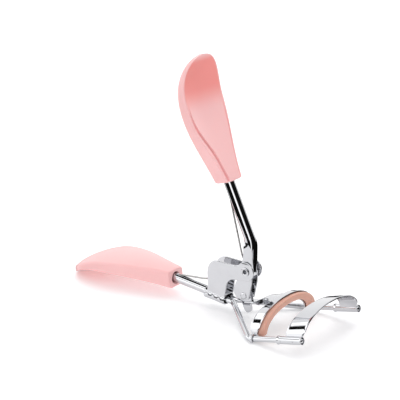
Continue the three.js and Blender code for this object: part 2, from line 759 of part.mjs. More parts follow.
function upperGrip() {
  const grip = placeGrip(gripGeometry(), UPPER_GRIP_MOUTH, UPPER_GRIP_ANGLE, -1);
  const socket = run(circle(TUBE_RADIUS + PRESS_GAP), -BORE_OVERRUN, GRIP_SOCKET + BORE_OVERRUN + 0.5);
  const bored = cut(grip, placeAt(socket, LEVER_MOUTH, leverAngle()));
  return mesh("upper_grip", bored, pinkPlastic());
}

// ---------------------------------------------------------------- assembly

const curler = new THREE.Group();
curler.position.x = -ORIGIN_FROM_ELBOWS;
curler.add(
  lowerGrip(),
  lowerArm(),
  pivotBracket(),
  pivotRivet(),
  guideWire("guide_wire_left", 1),
  guideWire("guide_wire_right", -1),
  fixedJaw(),
  springCoil(),
  upperGrip(),
  upperLever(),
  linkPinPiece(),
  springUpperLeg(),
  movingJaw(),
  lashPad(),
);

export default curler;
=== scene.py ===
"""Eyelash curler, standing open. The looks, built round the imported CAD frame.

Shapes are drawn in millimetres in the side frame, where x is measured from the elbows of the
guide wires, y across the jaws and z up from the table, and are moved to the frame's metres when
they are made into pieces.
"""

import json
import math

import bmesh
import bpy
from mathutils import Matrix, Vector
from mathutils.geometry import tessellate_polygon


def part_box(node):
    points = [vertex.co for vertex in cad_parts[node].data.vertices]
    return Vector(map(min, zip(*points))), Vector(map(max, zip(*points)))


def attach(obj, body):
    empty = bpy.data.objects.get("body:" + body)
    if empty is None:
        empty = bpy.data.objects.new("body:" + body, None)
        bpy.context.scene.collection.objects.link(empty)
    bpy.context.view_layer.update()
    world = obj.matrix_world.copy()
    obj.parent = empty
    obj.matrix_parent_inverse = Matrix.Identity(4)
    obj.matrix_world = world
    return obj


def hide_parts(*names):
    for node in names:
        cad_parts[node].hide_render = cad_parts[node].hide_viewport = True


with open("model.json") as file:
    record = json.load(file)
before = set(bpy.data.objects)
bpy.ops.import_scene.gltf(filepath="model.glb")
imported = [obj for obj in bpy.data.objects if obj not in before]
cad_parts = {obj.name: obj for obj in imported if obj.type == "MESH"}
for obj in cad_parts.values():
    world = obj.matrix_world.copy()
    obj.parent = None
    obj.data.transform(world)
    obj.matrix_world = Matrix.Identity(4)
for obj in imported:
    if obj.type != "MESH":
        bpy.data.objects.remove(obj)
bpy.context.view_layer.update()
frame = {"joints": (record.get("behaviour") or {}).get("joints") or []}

# ---- sizes, in millimetres

MM = 0.001
joints = {joint["name"]: joint for joint in frame["joints"]}
pivot_point = Vector(joints["lever_hinge"]["pos_m"]) / MM
slide_axis = Vector(joints["jaw_slide"]["axis"])

PIVOT_FROM_ELBOWS = 12.0
ORIGIN = pivot_point.x + PIVOT_FROM_ELBOWS  # x of the elbows in the part's frame
PIVOT = (-PIVOT_FROM_ELBOWS, pivot_point.z)
PIVOT_BORE = 1.1  # radius of the holes that the rivet goes through
ROD_TILT = math.atan2(slide_axis.z, slide_axis.x)
ELBOW_HEIGHT = 0.9
WIRE_RADIUS = 1.0
END_SLEEVE_RADIUS = 1.35
ROD_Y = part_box("fixed_jaw")[1].y / MM - END_SLEEVE_RADIUS  # half the spacing of the rods

ARM_RADIUS = 1.65
ARM_MOUTH = (-43.4, 6.6)
SLEEVE_FRONT = (-20.8, 4.4)
SLEEVE_LENGTH = 8.6
LEVER_MOUTH = (-20.6, 46.5)
BEND = (-11.3, 27.0)
TUBE_RADIUS = 1.85
GRIP_SOCKET = 9.0
SOCKET_RADIUS = 2.1
SOCKET_SHOWN = 4.0  # depth of the gap round a tube where it enters its grip

pin_low, pin_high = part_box("link_pin")
LINK_PIN = ((pin_low.x + pin_high.x) / 2 / MM - ORIGIN, (pin_low.z + pin_high.z) / 2 / MM)


# ---- camera and studio

CAMERA_AZIMUTH = math.radians(37.21)
CAMERA_ELEVATION = math.radians(19.54)
CAMERA_DISTANCE = 0.616
CAMERA_LENS = 162.0
CAMERA_TARGET = Vector((ORIGIN - 33.16, 0, 37.68)) * MM


def make_camera():
    away = Vector((
        math.sin(CAMERA_AZIMUTH) * math.cos(CAMERA_ELEVATION),
        -math.cos(CAMERA_AZIMUTH) * math.cos(CAMERA_ELEVATION),
        math.sin(CAMERA_ELEVATION),
    ))
    data = bpy.data.cameras.new("camera")
    data.lens = CAMERA_LENS
    data.sensor_width = 36.0
    data.clip_start = 0.01
    camera = link("camera", data)
    camera.location = CAMERA_TARGET + away * CAMERA_DISTANCE
    camera.rotation_euler = (-away).to_track_quat("-Z", "Y").to_euler()
    bpy.context.scene.camera = camera


def feed(tree, node, inputs):
    """Links or sets a node's inputs, which are given by name or number."""
    for slot, value in inputs.items():
        if isinstance(value, bpy.types.NodeSocket):
            tree.links.new(value, node.inputs[slot])
        else:
            node.inputs[slot].default_value = value


def add_node(tree, kind, inputs=None, **settings):
    node = tree.nodes.new("ShaderNode" + kind)
    for name, value in settings.items():
        setattr(node, name, value)
    feed(tree, node, inputs or {})
    return node


def math_node(tree, operation, *inputs):
    return add_node(tree, "Math", dict(enumerate(inputs)), operation=operation).outputs[0]


def smooth_step(tree, value, low, high):
    inputs = {"Value": value, "From Min": low, "From Max": high}
    node = add_node(tree, "MapRange", inputs, interpolation_type="SMOOTHSTEP")
    return node.outputs["Result"]


SKY = 0.86  # the even white light that falls on everything
ROOM_DARK = 0.006  # what mirrors see of the unlit room
ROOM_BACK = 1.2
ROOM_TOP = 2.0
ROOM_FRONT = 1.3
ROOM_LEFT = 0.8  # share of the overhead light that also comes in low on the left
TABLE_GLOW = 0.28  # the table is lit a little from below
TABLE_CENTRE = (0.015, -0.02)  # of the part of the table that mirrors see, in metres
TABLE_RADIUS = 0.062

# The soft edges of the room's lights, each from where it is out to where it is full. Azimuths are
# in radians from straight behind the camera, rising to its right; heights are sines of elevation.
NEAR_LEFT = (-1.06, -1.16)
NEAR_LEFT_FOOT = (-0.2, -0.1)
MIDDLE_LEFT = (-1.86, -1.96)
FAR_LEFT = (-2.28, -2.36)
FAR_RIGHT = (2.0, 2.1)
BACK_FOOT = (-0.15, -0.08)
LEFT_END = (-0.15, 0.15)
CEILING = (0.47, 0.53)
CEILING_DROP = 0.34  # how much lower the overhead light reaches on the left
LOW_BEAM = (-1.8, 0.54)  # azimuth and height of its middle
LOW_BEAM_SIDES = (0.6, 0.68)
LOW_BEAM_EDGES = (0.045, 0.075)
HIGH_BEAM_AZIMUTH = -2.15
HIGH_BEAM_SIDES = (0.6, 0.7)
HIGH_BEAM_FOOT = (0.80, 0.76)
GAP_AZIMUTH = -0.02
GAP_SIDES = (0.24, 0.30)


def make_world():
    """White all round for soft light; mirrors also see a dark room behind the camera, between
    the table and the overhead softbox, with a narrow lit gap in it."""
    world = bpy.data.worlds.new("studio")
    world.use_nodes = True
    tree = world.node_tree
    tree.nodes.clear()

    def calc(operation, *inputs):
        return math_node(tree, operation, *inputs)

    def ramp(value, edge):
        return smooth_step(tree, value, *edge)

    def distance(value, middle):
        return calc("ABSOLUTE", calc("SUBTRACT", value, middle))

    direction = add_node(tree, "TexCoord").outputs["Generated"]
    x, y, z = add_node(tree, "SeparateXYZ", {0: direction}).outputs
    toward_x, toward_y = math.sin(CAMERA_AZIMUTH), -math.cos(CAMERA_AZIMUTH)
    forward = calc("ADD", calc("MULTIPLY", x, toward_x), calc("MULTIPLY", y, toward_y))
    sideways = calc("ADD", calc("MULTIPLY", x, -toward_y), calc("MULTIPLY", y, toward_x))
    azimuth = calc("ARCTAN2", sideways, forward)

    near_left = calc("MULTIPLY", ramp(azimuth, NEAR_LEFT), ramp(z, NEAR_LEFT_FOOT))
    far_left = ramp(azimuth, FAR_LEFT)
    not_far_left = calc("SUBTRACT", 1.0, far_left)
    back_left = calc("MAXIMUM", near_left, ramp(azimuth, MIDDLE_LEFT))
    back_left = calc("MULTIPLY", back_left, not_far_left)
    back = calc("MAXIMUM", far_left, ramp(azimuth, FAR_RIGHT))
    back = calc("MULTIPLY", back, ramp(z, BACK_FOOT))

    # The overhead light comes lower down on the left, where two dark beams cross it.
    left = calc("SUBTRACT", 1.0, ramp(azimuth, LEFT_END))
    left = calc("MULTIPLY", left, not_far_left)
    top = ramp(calc("MULTIPLY_ADD", left, CEILING_DROP, z), CEILING)
    low_beam = calc(
        "MAXIMUM",
        ramp(distance(z, LOW_BEAM[1]), LOW_BEAM_EDGES),
        ramp(distance(azimuth, LOW_BEAM[0]), LOW_BEAM_SIDES),
    )
    high_beam = calc(
        "MAXIMUM",
        ramp(z, HIGH_BEAM_FOOT),
        ramp(distance(azimuth, HIGH_BEAM_AZIMUTH), HIGH_BEAM_SIDES),
    )
    gap = calc("SUBTRACT", 1.0, ramp(distance(azimuth, GAP_AZIMUTH), GAP_SIDES))

    sides = calc("MULTIPLY_ADD", back, ROOM_BACK - ROOM_DARK, ROOM_DARK)
    bright = calc("MAXIMUM", calc("MAXIMUM", top, gap), calc("MULTIPLY", back_left, ROOM_LEFT))
    lamp = calc("MULTIPLY_ADD", left, ROOM_TOP - ROOM_FRONT, ROOM_FRONT)
    above = calc("MULTIPLY", calc("MULTIPLY", bright, low_beam), lamp)
    room = calc("MULTIPLY", calc("MAXIMUM", sides, above), high_beam)
    rays = add_node(tree, "LightPath").outputs
    light = {"Factor": rays["Is Glossy Ray"], 2: SKY, 3: room}
    mirror = add_node(tree, "Mix", light, data_type="FLOAT")
    seen = calc("MAXIMUM", mirror.outputs[0], rays["Is Camera Ray"])
    background = add_node(tree, "Background", {"Strength": seen, "Color": (1.0, 1.0, 1.0, 1.0)})
    add_node(tree, "OutputWorld", {"Surface": background.outputs[0]})
    bpy.context.scene.world = world


def make_softbox():
    """A faint light overhead, towards the back, which mirrors don't see."""
    data = bpy.data.lights.new("softbox_top", "AREA")
    data.shape = "SQUARE"
    data.size = 0.6
    data.energy = 1.8
    light = link("softbox_top", data)
    light.location = (-0.10, 0.28, 0.66)
    aim = Vector((0, 0, 0.03)) - light.location
    light.rotation_euler = aim.to_track_quat("-Z", "Y").to_euler()
    light.visible_glossy = False


def make_floor():
    """A round white table, and a wide surround that mirrors don't see."""
    sides, reach = 96, 4.0
    rims = [[(x, y, 0) for x, y in arc(TABLE_CENTRE, r, 0, 360, sides)[:-1]]
            for r in (TABLE_RADIUS, reach)]
    ring = [(i, sides + i, sides + (i + 1) % sides, (i + 1) % sides) for i in range(sides)]
    white = table_material()
    for name, points, faces in (
        ("table", rims[0], [tuple(range(sides))]),
        ("table_surround", rims[0] + rims[1], ring),
    ):
        mesh = bpy.data.meshes.new(name)
        mesh.from_pydata(points, [], faces)
        mesh.materials.append(white)
        table = link(name, mesh)
        table.visible_glossy = name == "table"


# ---- materials


def new_material(name):
    material = bpy.data.materials.new(name)
    material.use_nodes = True
    tree = material.node_tree
    tree.nodes.clear()
    shader = add_node(tree, "BsdfPrincipled")
    add_node(tree, "OutputMaterial", {"Surface": shader.outputs[0]})
    return material, tree, shader, add_node(tree, "TexCoord").outputs["Object"]


def noise(tree, place, per_mm, detail=3.0, stretch=None):
    """Noise with per_mm features in a millimetre, in the object's own coordinates."""
    if stretch:
        mapping = add_node(tree, "Mapping", {"Vector": place, "Scale": stretch})
        place = mapping.outputs["Vector"]
    inputs = {"Vector": place, "Scale": per_mm / MM, "Detail": detail, "Roughness": 0.55}
    return add_node(tree, "TexNoise", inputs).outputs["Fac"]


def between(tree, factor, low, high):
    """A value from low to high, as the noise crosses the middle of its range."""
    inputs = {"Value": factor, "From Min": 0.3, "From Max": 0.7, "To Min": low, "To Max": high}
    return add_node(tree, "MapRange", inputs).outputs["Result"]


def two_colours(tree, factor, *colours):
    """Mixes two colours, each of them (red, green, blue) or a socket."""
    first, second = ((*c, 1.0) if isinstance(c, tuple) else c for c in colours)
    node = add_node(tree, "Mix", data_type="RGBA")
    feed(tree, node, {"Factor": factor, 6: first, 7: second})
    return node.outputs[2]


def bump(tree, height, depth_mm, under=None):
    inputs = {"Strength": 1.0, "Distance": depth_mm * MM, "Height": height}
    if under:
        inputs["Normal"] = under
    return add_node(tree, "Bump", inputs).outputs["Normal"]


def table_material():
    material, tree, shader, place = new_material("table_white")
    tint = two_colours(tree, noise(tree, place, 0.02), (0.86, 0.86, 0.875), (0.88, 0.88, 0.885))
    feed(tree, shader, {
        "Base Color": tint,
        "Emission Color": tint,
        "Emission Strength": TABLE_GLOW,
        "Roughness": 0.5,
        "Specular IOR Level": 0.2,
    })
    return material


def metal(name, first, second, rough_low, rough_high, ripple):
    """Plated or drawn metal: two slow waves of the given depth, and a fine grain along z."""
    material, tree, shader, place = new_material(name)
    waves = bump(tree, noise(tree, place, 0.11, 1.0), 5 * ripple)
    waves = bump(tree, noise(tree, place, 0.35, 1.0), ripple, waves)
    grain = noise(tree, place, 9.0, 2.0, stretch=(1.0, 1.0, 0.12))
    feed(tree, shader, {
        "Metallic": 1.0,
        "Base Color": two_colours(tree, noise(tree, place, 0.25), first, second),
        "Roughness": between(tree, noise(tree, place, 0.5, 4.0), rough_low, rough_high),
        "Normal": bump(tree, grain, 0.0006, waves),
    })
    return material


def chrome_material():
    return metal("chrome_plate", (0.60, 0.605, 0.625), (0.55, 0.555, 0.575), 0.03, 0.07, 0.006)


def spring_material():
    return metal("spring_wire", (0.42, 0.415, 0.41), (0.32, 0.315, 0.31), 0.14, 0.26, 0.004)


def plastic_material():
    """Pale pink, with a deeper, warmer pink painted in the thumb's dish as its shade and pink bounce
    light.
    """
    material, tree, shader, place = new_material("grip_pink_plastic")
    mottle = noise(tree, place, 0.12)
    pale = two_colours(tree, mottle, (0.96, 0.56, 0.555), (0.945, 0.53, 0.53))
    dish_shade_colour = two_colours(tree, mottle, (0.955, 0.33, 0.30), (0.94, 0.31, 0.29))
    # the dish attribute masks the painted shade and bounce light in the thumb's dish
    dish_shade = add_node(tree, "Attribute", attribute_name="dish").outputs["Fac"]
    soft = bump(tree, noise(tree, place, 0.3, 1.0), 0.01)
    feed(tree, shader, {
        "Base Color": two_colours(tree, dish_shade, pale, dish_shade_colour),
        "Roughness": between(tree, noise(tree, place, 1.5, 4.0), 0.30, 0.42),
        "Subsurface Weight": 0.12,
        "Subsurface Radius": (1.0, 0.45, 0.4),
        "Subsurface Scale": 0.6 * MM,
        "Coat Weight": 0.12,
        "Coat Roughness": 0.25,
        "Normal": bump(tree, noise(tree, place, 12.0, 2.0), 0.003, soft),
    })
    return material


def silicone_material():
    material, tree, shader, place = new_material("pad_silicone")
    grain = bump(tree, noise(tree, place, 0.8, 1.0), 0.01)
    feed(tree, shader, {
        "Base Color": two_colours(
            tree, noise(tree, place, 0.3), (0.72, 0.40, 0.31), (0.64, 0.34, 0.26)),
        "Roughness": between(tree, noise(tree, place, 2.0, 4.0), 0.42, 0.58),
        "Subsurface Weight": 0.3,
        "Subsurface Radius": (1.0, 0.5, 0.35),
        "Subsurface Scale": 1.0 * MM,
        "Normal": bump(tree, noise(tree, place, 14.0, 3.0), 0.004, grain),
    })
    return material


# ---- curves and sections


def lerp(a, b, t):
    return a + (b - a) * t


def look_up(table, x):
    """The value at x in a table of (x, value), along straight lines between its rows."""
    for (x0, value0), (x1, value1) in zip(table, table[1:]):
        if x <= x1:
            return lerp(value0, value1, (x - x0) / (x1 - x0))
    return table[-1][1]


def step(value, low, high):
    t = min(1.0, max(0.0, (value - low) / (high - low)))
    return t * t * (3 - 2 * t)


def arc(centre, radius, start, end, count):
    """Points of an arc; angles in degrees."""
    points = []
    for i in range(count + 1):
        angle = math.radians(lerp(start, end, i / count))
        points.append((centre[0] + radius * math.cos(angle), centre[1] + radius * math.sin(angle)))
    return points


def bend_curve(start, control, end, count=8):
    """Points of a quadratic curve, without its first point."""
    points = []
    for i in range(1, count + 1):
        t = i / count
        points.append(tuple(
            (1 - t) ** 2 * s + 2 * t * (1 - t) * c + t * t * e
            for s, c, e in zip(start, control, end)
        ))
    return points


def signed_area(points):
    pairs = zip(points, points[1:] + points[:1])
    return sum(a[0] * b[1] - b[0] * a[1] for a, b in pairs) / 2


def normals_of(points, closed):
    """Left-hand normals of a polyline, lengthened at its corners so that offsets stay parallel."""
    count = len(points)
    result = []
    for i in range(count):
        before = points[(i - 1) % count] if closed or i > 0 else None
        after = points[(i + 1) % count] if closed or i < count - 1 else None
        directions = []
        if before:
            directions.append((Vector(points[i]) - Vector(before)).normalized())
        if after:
            directions.append((Vector(after) - Vector(points[i])).normalized())
        mean = sum(directions, Vector((0, 0)))
        mean = mean.normalized() if mean.length > 1e-9 else directions[0]
        lengthen = 1 / max(0.4, mean.dot(directions[0]))
        result.append(Vector((-mean.y, mean.x)) * lengthen)
    return result


LIP_POINTS = 3


def sheet_section(points, thickness):
    """The closed outline of a sheet that follows the polyline, with round edges."""
    normals = normals_of(points, closed=False)
    half = thickness / 2
    left = [Vector(p) + n * half for p, n in zip(points, normals)]
    right = [Vector(p) - n * half for p, n in zip(points, normals)]
    ring = list(left)
    for end, side in ((-1, left), (0, right)):
        centre = Vector(points[end])
        spoke = side[end] - centre
        for i in range(1, LIP_POINTS + 1):
            angle = -math.pi * i / (LIP_POINTS + 1)
            turned = Vector((
                spoke.x * math.cos(angle) - spoke.y * math.sin(angle),
                spoke.x * math.sin(angle) + spoke.y * math.cos(angle),
            ))
            ring.append(centre + turned)
        if end == -1:
            ring.extend(reversed(right))
    return ring


# ---- solids, as (points, faces)


def bands(start, count, rings, closed=False):
    """Faces between rings of points. Each ring has count points, and the first begins at start."""
    faces = []
    for r in range(rings if closed else rings - 1):
        here, there = start + r * count, start + (r + 1) % rings * count
        for i in range(count):
            j = (i + 1) % count
            faces.append((here + i, here + j, there + j, there + i))
    return faces


def loft(rings, closed=False, sheet=False):
    """A solid through rings of equally many points. A closed loft joins its last ring to its
    first. A sheet's ends are closed by strips between its two sides."""
    count = len(rings[0])
    points = [Vector(p) for ring in rings for p in ring]
    faces = bands(0, count, len(rings), closed)
    if not closed:
        for base in (0, (len(rings) - 1) * count):
            faces.extend(end_faces(base, count, sheet))
    return points, faces


def stack(sections, sheet=False):
    """A loft through sections square to x, each given as x and its points in (y, z)."""
    return loft([[(x, y, z) for y, z in points] for x, points in sections], sheet=sheet)


def end_faces(base, count, sheet):
    if not sheet:
        return [tuple(base + i for i in range(count))]
    side = (count - 2 * LIP_POINTS) // 2
    far = 2 * side + LIP_POINTS - 1
    faces = [(base + i, base + i + 1, base + far - i - 1, base + far - i) for i in range(side - 1)]
    faces.append(tuple(base + i for i in range(side - 1, side + LIP_POINTS + 1)))
    faces.append((base, *[base + i for i in range(count - LIP_POINTS - 1, count)]))
    return faces


def directions_along(points):
    """The unit direction of a line of vectors at each of its points."""
    ends = zip([points[0], *points], [*points[1:], points[-1]])
    return [(ahead - behind).normalized() for behind, ahead in ends]


def carry(tangents):
    """Pairs of axes square to the tangents, without twist."""
    side = Vector((0, 1, 0)) if abs(tangents[0].y) < 0.9 else Vector((0, 0, 1))
    axes = []
    for tangent in tangents:
        side = (side - tangent * side.dot(tangent)).normalized()
        axes.append((side, tangent.cross(side)))
    return axes


def wire(path, radius, sides=24, rounding=0.45):
    """A round wire along a path, with rounded ends."""
    points = [Vector(p) for p in path]
    tangents = directions_along(points)
    axes = carry(tangents)

    def ring(centre, pair, size):
        return [
            centre + (pair[0] * math.cos(a) + pair[1] * math.sin(a)) * size
            for a in (2 * math.pi * i / sides for i in range(sides))
        ]

    edge = radius * rounding
    corner = [(edge * (1 - math.cos(a)), edge * (1 - math.sin(a))) for a in (0.0, 0.52, 1.05)]
    corner.append((edge, 0.0))
    head, tail = (
        [ring(points[end] + tangents[end] * (inward * along), axes[end], radius - inset)
         for along, inset in corner]
        for end, inward in ((0, 1), (-1, -1))
    )
    body = []
    for point, pair in list(zip(points, axes))[1:-1]:
        if min((point - points[0]).length, (point - points[-1]).length) > 1.5 * edge:
            body.append(ring(point, pair, radius))
    return loft(head + body + tail[::-1])


def revolve(profile, centre, steps=48):
    """A closed profile of (radius, y) turned about an axis along Y through centre (x, z)."""
    rings = []
    for i in range(steps):
        angle = 2 * math.pi * i / steps
        rings.append([
            (centre[0] + r * math.cos(angle), y, centre[1] + r * math.sin(angle))
            for r, y in profile
        ])
    return loft(rings, closed=True)


def cylinder_along_y(centre, radius, low, high, sides=48):
    circle = arc(centre, radius, 0, 360, sides)[:-1]
    return loft([[(x, y, z) for x, z in circle] for y in (low, high)])


def plate(outline, low, high, edge=0.12, holes=()):
    """A flat plate in the (x, z) plane from y = low to y = high, with rounded edges."""
    loops = []
    for index, loop in enumerate([outline, *holes]):
        loop = list(loop)
        wanted = 1 if index == 0 else -1
        if signed_area(loop) * wanted < 0:
            loop.reverse()
        loops.append(loop)
    corner = [(edge * (1 - math.sin(a)), edge * (1 - math.cos(a))) for a in (0.0, 0.52, 1.05, 1.571)]
    levels = [(inset, low + rise) for inset, rise in corner]
    levels += [(inset, high - rise) for inset, rise in reversed(corner)]
    points, faces, ends = [], [], ([], [])
    for loop in loops:
        normals = normals_of(loop, closed=True)
        start = len(points)
        for inset, y in levels:
            for p, n in zip(loop, normals):
                q = Vector(p) + n * inset
                points.append(Vector((q.x, y, q.y)))
        count = len(loop)
        faces += bands(start, count, len(levels))
        ends[0].append([start + i for i in range(count)])
        ends[1].append([start + (len(levels) - 1) * count + i for i in range(count)])
    for end in ends:
        flat = [i for loop in end for i in loop]
        outlines = [[Vector((points[i].x, points[i].z, 0)) for i in loop] for loop in end]
        faces.extend(tuple(flat[i] for i in triangle) for triangle in tessellate_polygon(outlines))
    return points, faces


def plate_pair(outline, inner, outer, hole):
    """Two like plates with one hole, on both sides of the middle."""
    return [plate(outline, -outer, -inner, 0.14, [hole]), plate(outline, inner, outer, 0.14, [hole])]


# ---- frames of reference


def side_matrix(start, angle):
    """From geometry drawn along +X to a line from start (x, z) at an angle in the side view."""
    return Matrix.Translation((start[0], 0, start[1])) @ Matrix.Rotation(-angle, 4, "Y")


def moved(solid, matrix):
    points, faces = solid
    return [matrix @ Vector(p) for p in points], faces


def angle_between(start, end):
    return math.atan2(end[1] - start[1], end[0] - start[0])


RODS = side_matrix((0, ELBOW_HEIGHT), ROD_TILT)
ARM_ANGLE = angle_between(SLEEVE_FRONT, ARM_MOUTH)
ARM = side_matrix(SLEEVE_FRONT, ARM_ANGLE)
ARM_UPRIGHT = ARM @ Matrix.Rotation(math.pi, 4, "X")  # its z points up, as its x points back
LEVER_ANGLE = angle_between(BEND, LEVER_MOUTH)


# ---- making pieces


def mesh_from(name, solid):
    points, faces = solid
    mesh = bpy.data.meshes.new(name)
    mesh.from_pydata([tuple(p) for p in points], [], faces)
    mesh.validate()
    work = bmesh.new()
    work.from_mesh(mesh)
    bmesh.ops.remove_doubles(work, verts=work.verts, dist=1e-5)
    bmesh.ops.recalc_face_normals(work, faces=work.faces)
    work.to_mesh(mesh)
    work.free()
    return mesh


def link(name, data):
    item = bpy.data.objects.new(name, data)
    bpy.context.scene.collection.objects.link(item)
    return item


def settle(piece):
    """Applies the piece's modifiers."""
    graph = bpy.context.evaluated_depsgraph_get()
    mesh = bpy.data.meshes.new_from_object(piece.evaluated_get(graph))
    piece.modifiers.clear()
    old, piece.data = piece.data, mesh
    bpy.data.meshes.remove(old)


def combine(name, solids, cutters=()):
    """One body from solids, less the cutters."""
    piece = link(name, mesh_from(name, solids[0]))
    jobs = [(solid, "UNION") for solid in solids[1:]] + [(solid, "DIFFERENCE") for solid in cutters]
    for solid, operation in jobs:
        tool = link("tool", mesh_from("tool", solid))
        modifier = piece.modifiers.new("join", "BOOLEAN")
        modifier.object = tool
        modifier.operation = operation
        modifier.solver = "MANIFOLD"
        settle(piece)
        bpy.data.objects.remove(tool)
    return piece


SHARP_ANGLE = math.radians(38)


def finish_piece(piece, body, node, material):
    """Takes a piece from millimetres to its place in the frame, and gives it its finish."""
    piece.data.transform(Matrix.Scale(MM, 4) @ Matrix.Translation((ORIGIN, 0, 0)))
    piece.data.shade_smooth()
    piece.data.set_sharp_from_angle(angle=SHARP_ANGLE)
    weigh = piece.modifiers.new("normals", "WEIGHTED_NORMAL")
    weigh.keep_sharp = True
    weigh.weight = 100
    settle(piece)
    piece.name = node + "_skin"
    piece.data.name = piece.name
    piece.data.materials.clear()
    piece.data.materials.append(material)
    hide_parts(node)
    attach(piece, body)


# ---- lower arm and bracket


def rolled_section(half_width, half_height, wall, seam, half_gap, count, squareness=2):
    """Section in (y, z) of a tube rolled from sheet, open at the seam; angles in radians."""
    line = []
    for i in range(count + 1):
        angle = seam + half_gap + (2 * math.pi - 2 * half_gap) * i / count
        c, s = math.cos(angle), math.sin(angle)
        y = math.copysign(abs(c) ** (2 / squareness), c)
        z = math.copysign(abs(s) ** (2 / squareness), s)
        line.append(((half_width - wall / 2) * y, (half_height - wall / 2) * z))
    return sheet_section(line, wall)


ARM_WALL = 0.5
ARM_START = 4.9  # how far the arm's front rim lies inside the sleeve
ARM_SEAM_HALF_GAP = 0.34


def lower_arm():
    """The rolled arm, its seam on top and its two rims rounded."""
    soft = 0.12
    end = math.dist(ARM_MOUTH, SLEEVE_FRONT) + GRIP_SOCKET
    stations = [(ARM_START, 0.5), (ARM_START + soft / 2, 0.85), (ARM_START + soft, 1.0),
                (end - soft, 1.0), (end - soft / 2, 0.85), (end, 0.5)]
    sections = []
    for x, share in stations:
        radius = ARM_RADIUS - (1 - share) * ARM_WALL / 2
        sections.append((x, rolled_section(
            radius, radius, ARM_WALL * share, math.pi / 2, ARM_SEAM_HALF_GAP, 56)))
    return combine("lower_arm", [moved(stack(sections, sheet=True), ARM_UPRIGHT)])


CHEEK_INNER, CHEEK_OUTER = 2.2, 2.7
CHEEK_EAR = 3.35  # radius of the round ear about the rivet


def cheek_outline():
    """A cheek in (x, z), from its rear foot over the top to the ear and down to its front foot."""
    ear_end = (PIVOT[0] - CHEEK_EAR * 0.8, PIVOT[1] + CHEEK_EAR * 0.6)
    shape = [(-28.2, 6.1), (-27.7, 8.4), (-28.0, 13.0)]
    shape += bend_curve(shape[-1], (-27.8, 18.3), (-23.2, 18.5), 12)
    shape.append((-17.6, 18.4))
    shape += bend_curve(shape[-1], (-15.9, 18.4), ear_end, 6)[:-1]
    shape += arc(PIVOT, CHEEK_EAR, 180 - 36.87, -90, 40)
    shape.append((-15.4, 13.3))
    shape += bend_curve(shape[-1], (-20.1, 13.1), (-20.1, 9.0), 12)
    shape.append((-20.7, 5.3))
    return shape


# The sleeve's crimped seam: place along the sleeve, and angle from the seam's straight line.
SEAM_TEETH = ((0.0, 0.02), (0.5, -0.10), (1.3, -0.10), (1.7, 0.10), (2.5, 0.10), (2.9, -0.08),
              (3.8, -0.08), (4.2, 0.12), (5.0, 0.12), (5.4, -0.06), (6.3, -0.06), (6.7, 0.10),
              (7.5, 0.10), (7.9, 0.0), (8.6, 0.0))
SLEEVE_WALL = 0.45
SLEEVE_HALF_WIDTH = 3.1
SLEEVE_HALF_HEIGHT = 2.1
SLEEVE_SEAM_TURN = 0.12
SLEEVE_SEAM_HALF_GAP = 0.15
PINCH, PINCH_PLACE, PINCH_SPREAD = 0.04, 4.4, 1.8  # the sleeve is squeezed flatter near its middle


def sleeve():
    """The crimped sleeve that grips the arm, the cheeks and the roots of both wires."""
    steps, rim = 72, 0.14
    stations = [(0.0, 0.4), (0.05, 0.75), (rim, 1.0)]
    stations += [(lerp(rim, SLEEVE_LENGTH - rim, i / steps), 1.0) for i in range(1, steps)]
    stations += [(SLEEVE_LENGTH - x, share) for x, share in reversed(stations[:3])]
    sections = []
    for x, share in stations:
        pinch = 1 - PINCH * math.exp(-((x - PINCH_PLACE) / PINCH_SPREAD) ** 2)
        trim = (1 - share) * SLEEVE_WALL / 2
        sections.append((x, rolled_section(
            SLEEVE_HALF_WIDTH - trim, SLEEVE_HALF_HEIGHT * pinch - trim, SLEEVE_WALL * share,
            look_up(SEAM_TEETH, x) + SLEEVE_SEAM_TURN, SLEEVE_SEAM_HALF_GAP, 84, squareness=2.5)))
    return moved(stack(sections, sheet=True), ARM_UPRIGHT)


def pivot_bracket():
    hole = arc(PIVOT, PIVOT_BORE, 0, 360, 48)[:-1]
    cheeks = plate_pair(cheek_outline(), CHEEK_INNER, CHEEK_OUTER, hole)
    return combine("pivot_bracket", [sleeve(), *cheeks])


def pivot_rivet():
    """A hollow rivet with a rolled head at each end, turned from the radii of its profile."""
    bore, barrel, face, end = 0.75, 1.05, 2.75, 3.1
    half = [(barrel, face)]
    half += [(1.35, face), (1.52, face + 0.04), (1.6, face + 0.14), (1.56, face + 0.26)]
    half += [(1.4, end - 0.02), (1.15, end), (0.95, end - 0.05), (0.8, end - 0.16), (bore, end - 0.4)]
    profile = half + [(r, -y) for r, y in reversed(half)]
    return combine("pivot_rivet", [revolve(profile, PIVOT)])


# ---- guide wires

ROD_LENGTH = 21.95
WIRE_ROOT_Y = 1.075  # the roots lie side by side in the sleeve
WIRE_ROOT_DEPTH = 4.5
LEG_START = (-18.0, 4.1)
ELBOW_TANGENT = 1.2


def rounded_path(corners, tangent, spacing=0.9, bend_steps=12):
    """A path through the corners, each rounded off over the tangent's length on both sides."""
    corners = [Vector(c) for c in corners]
    path = [corners[0]]
    for before, corner, after in zip(corners, corners[1:], corners[2:]):
        start = corner + (before - corner).normalized() * tangent
        end = corner + (after - corner).normalized() * tangent
        path += between_points(path[-1], start, spacing)
        path += [Vector(p) for p in bend_curve(start, corner, end, bend_steps)]
    return path + between_points(path[-1], corners[-1], spacing)


def between_points(start, end, spacing):
    count = max(1, round((end - start).length / spacing))
    return [start.lerp(end, i / count) for i in range(1, count + 1)]


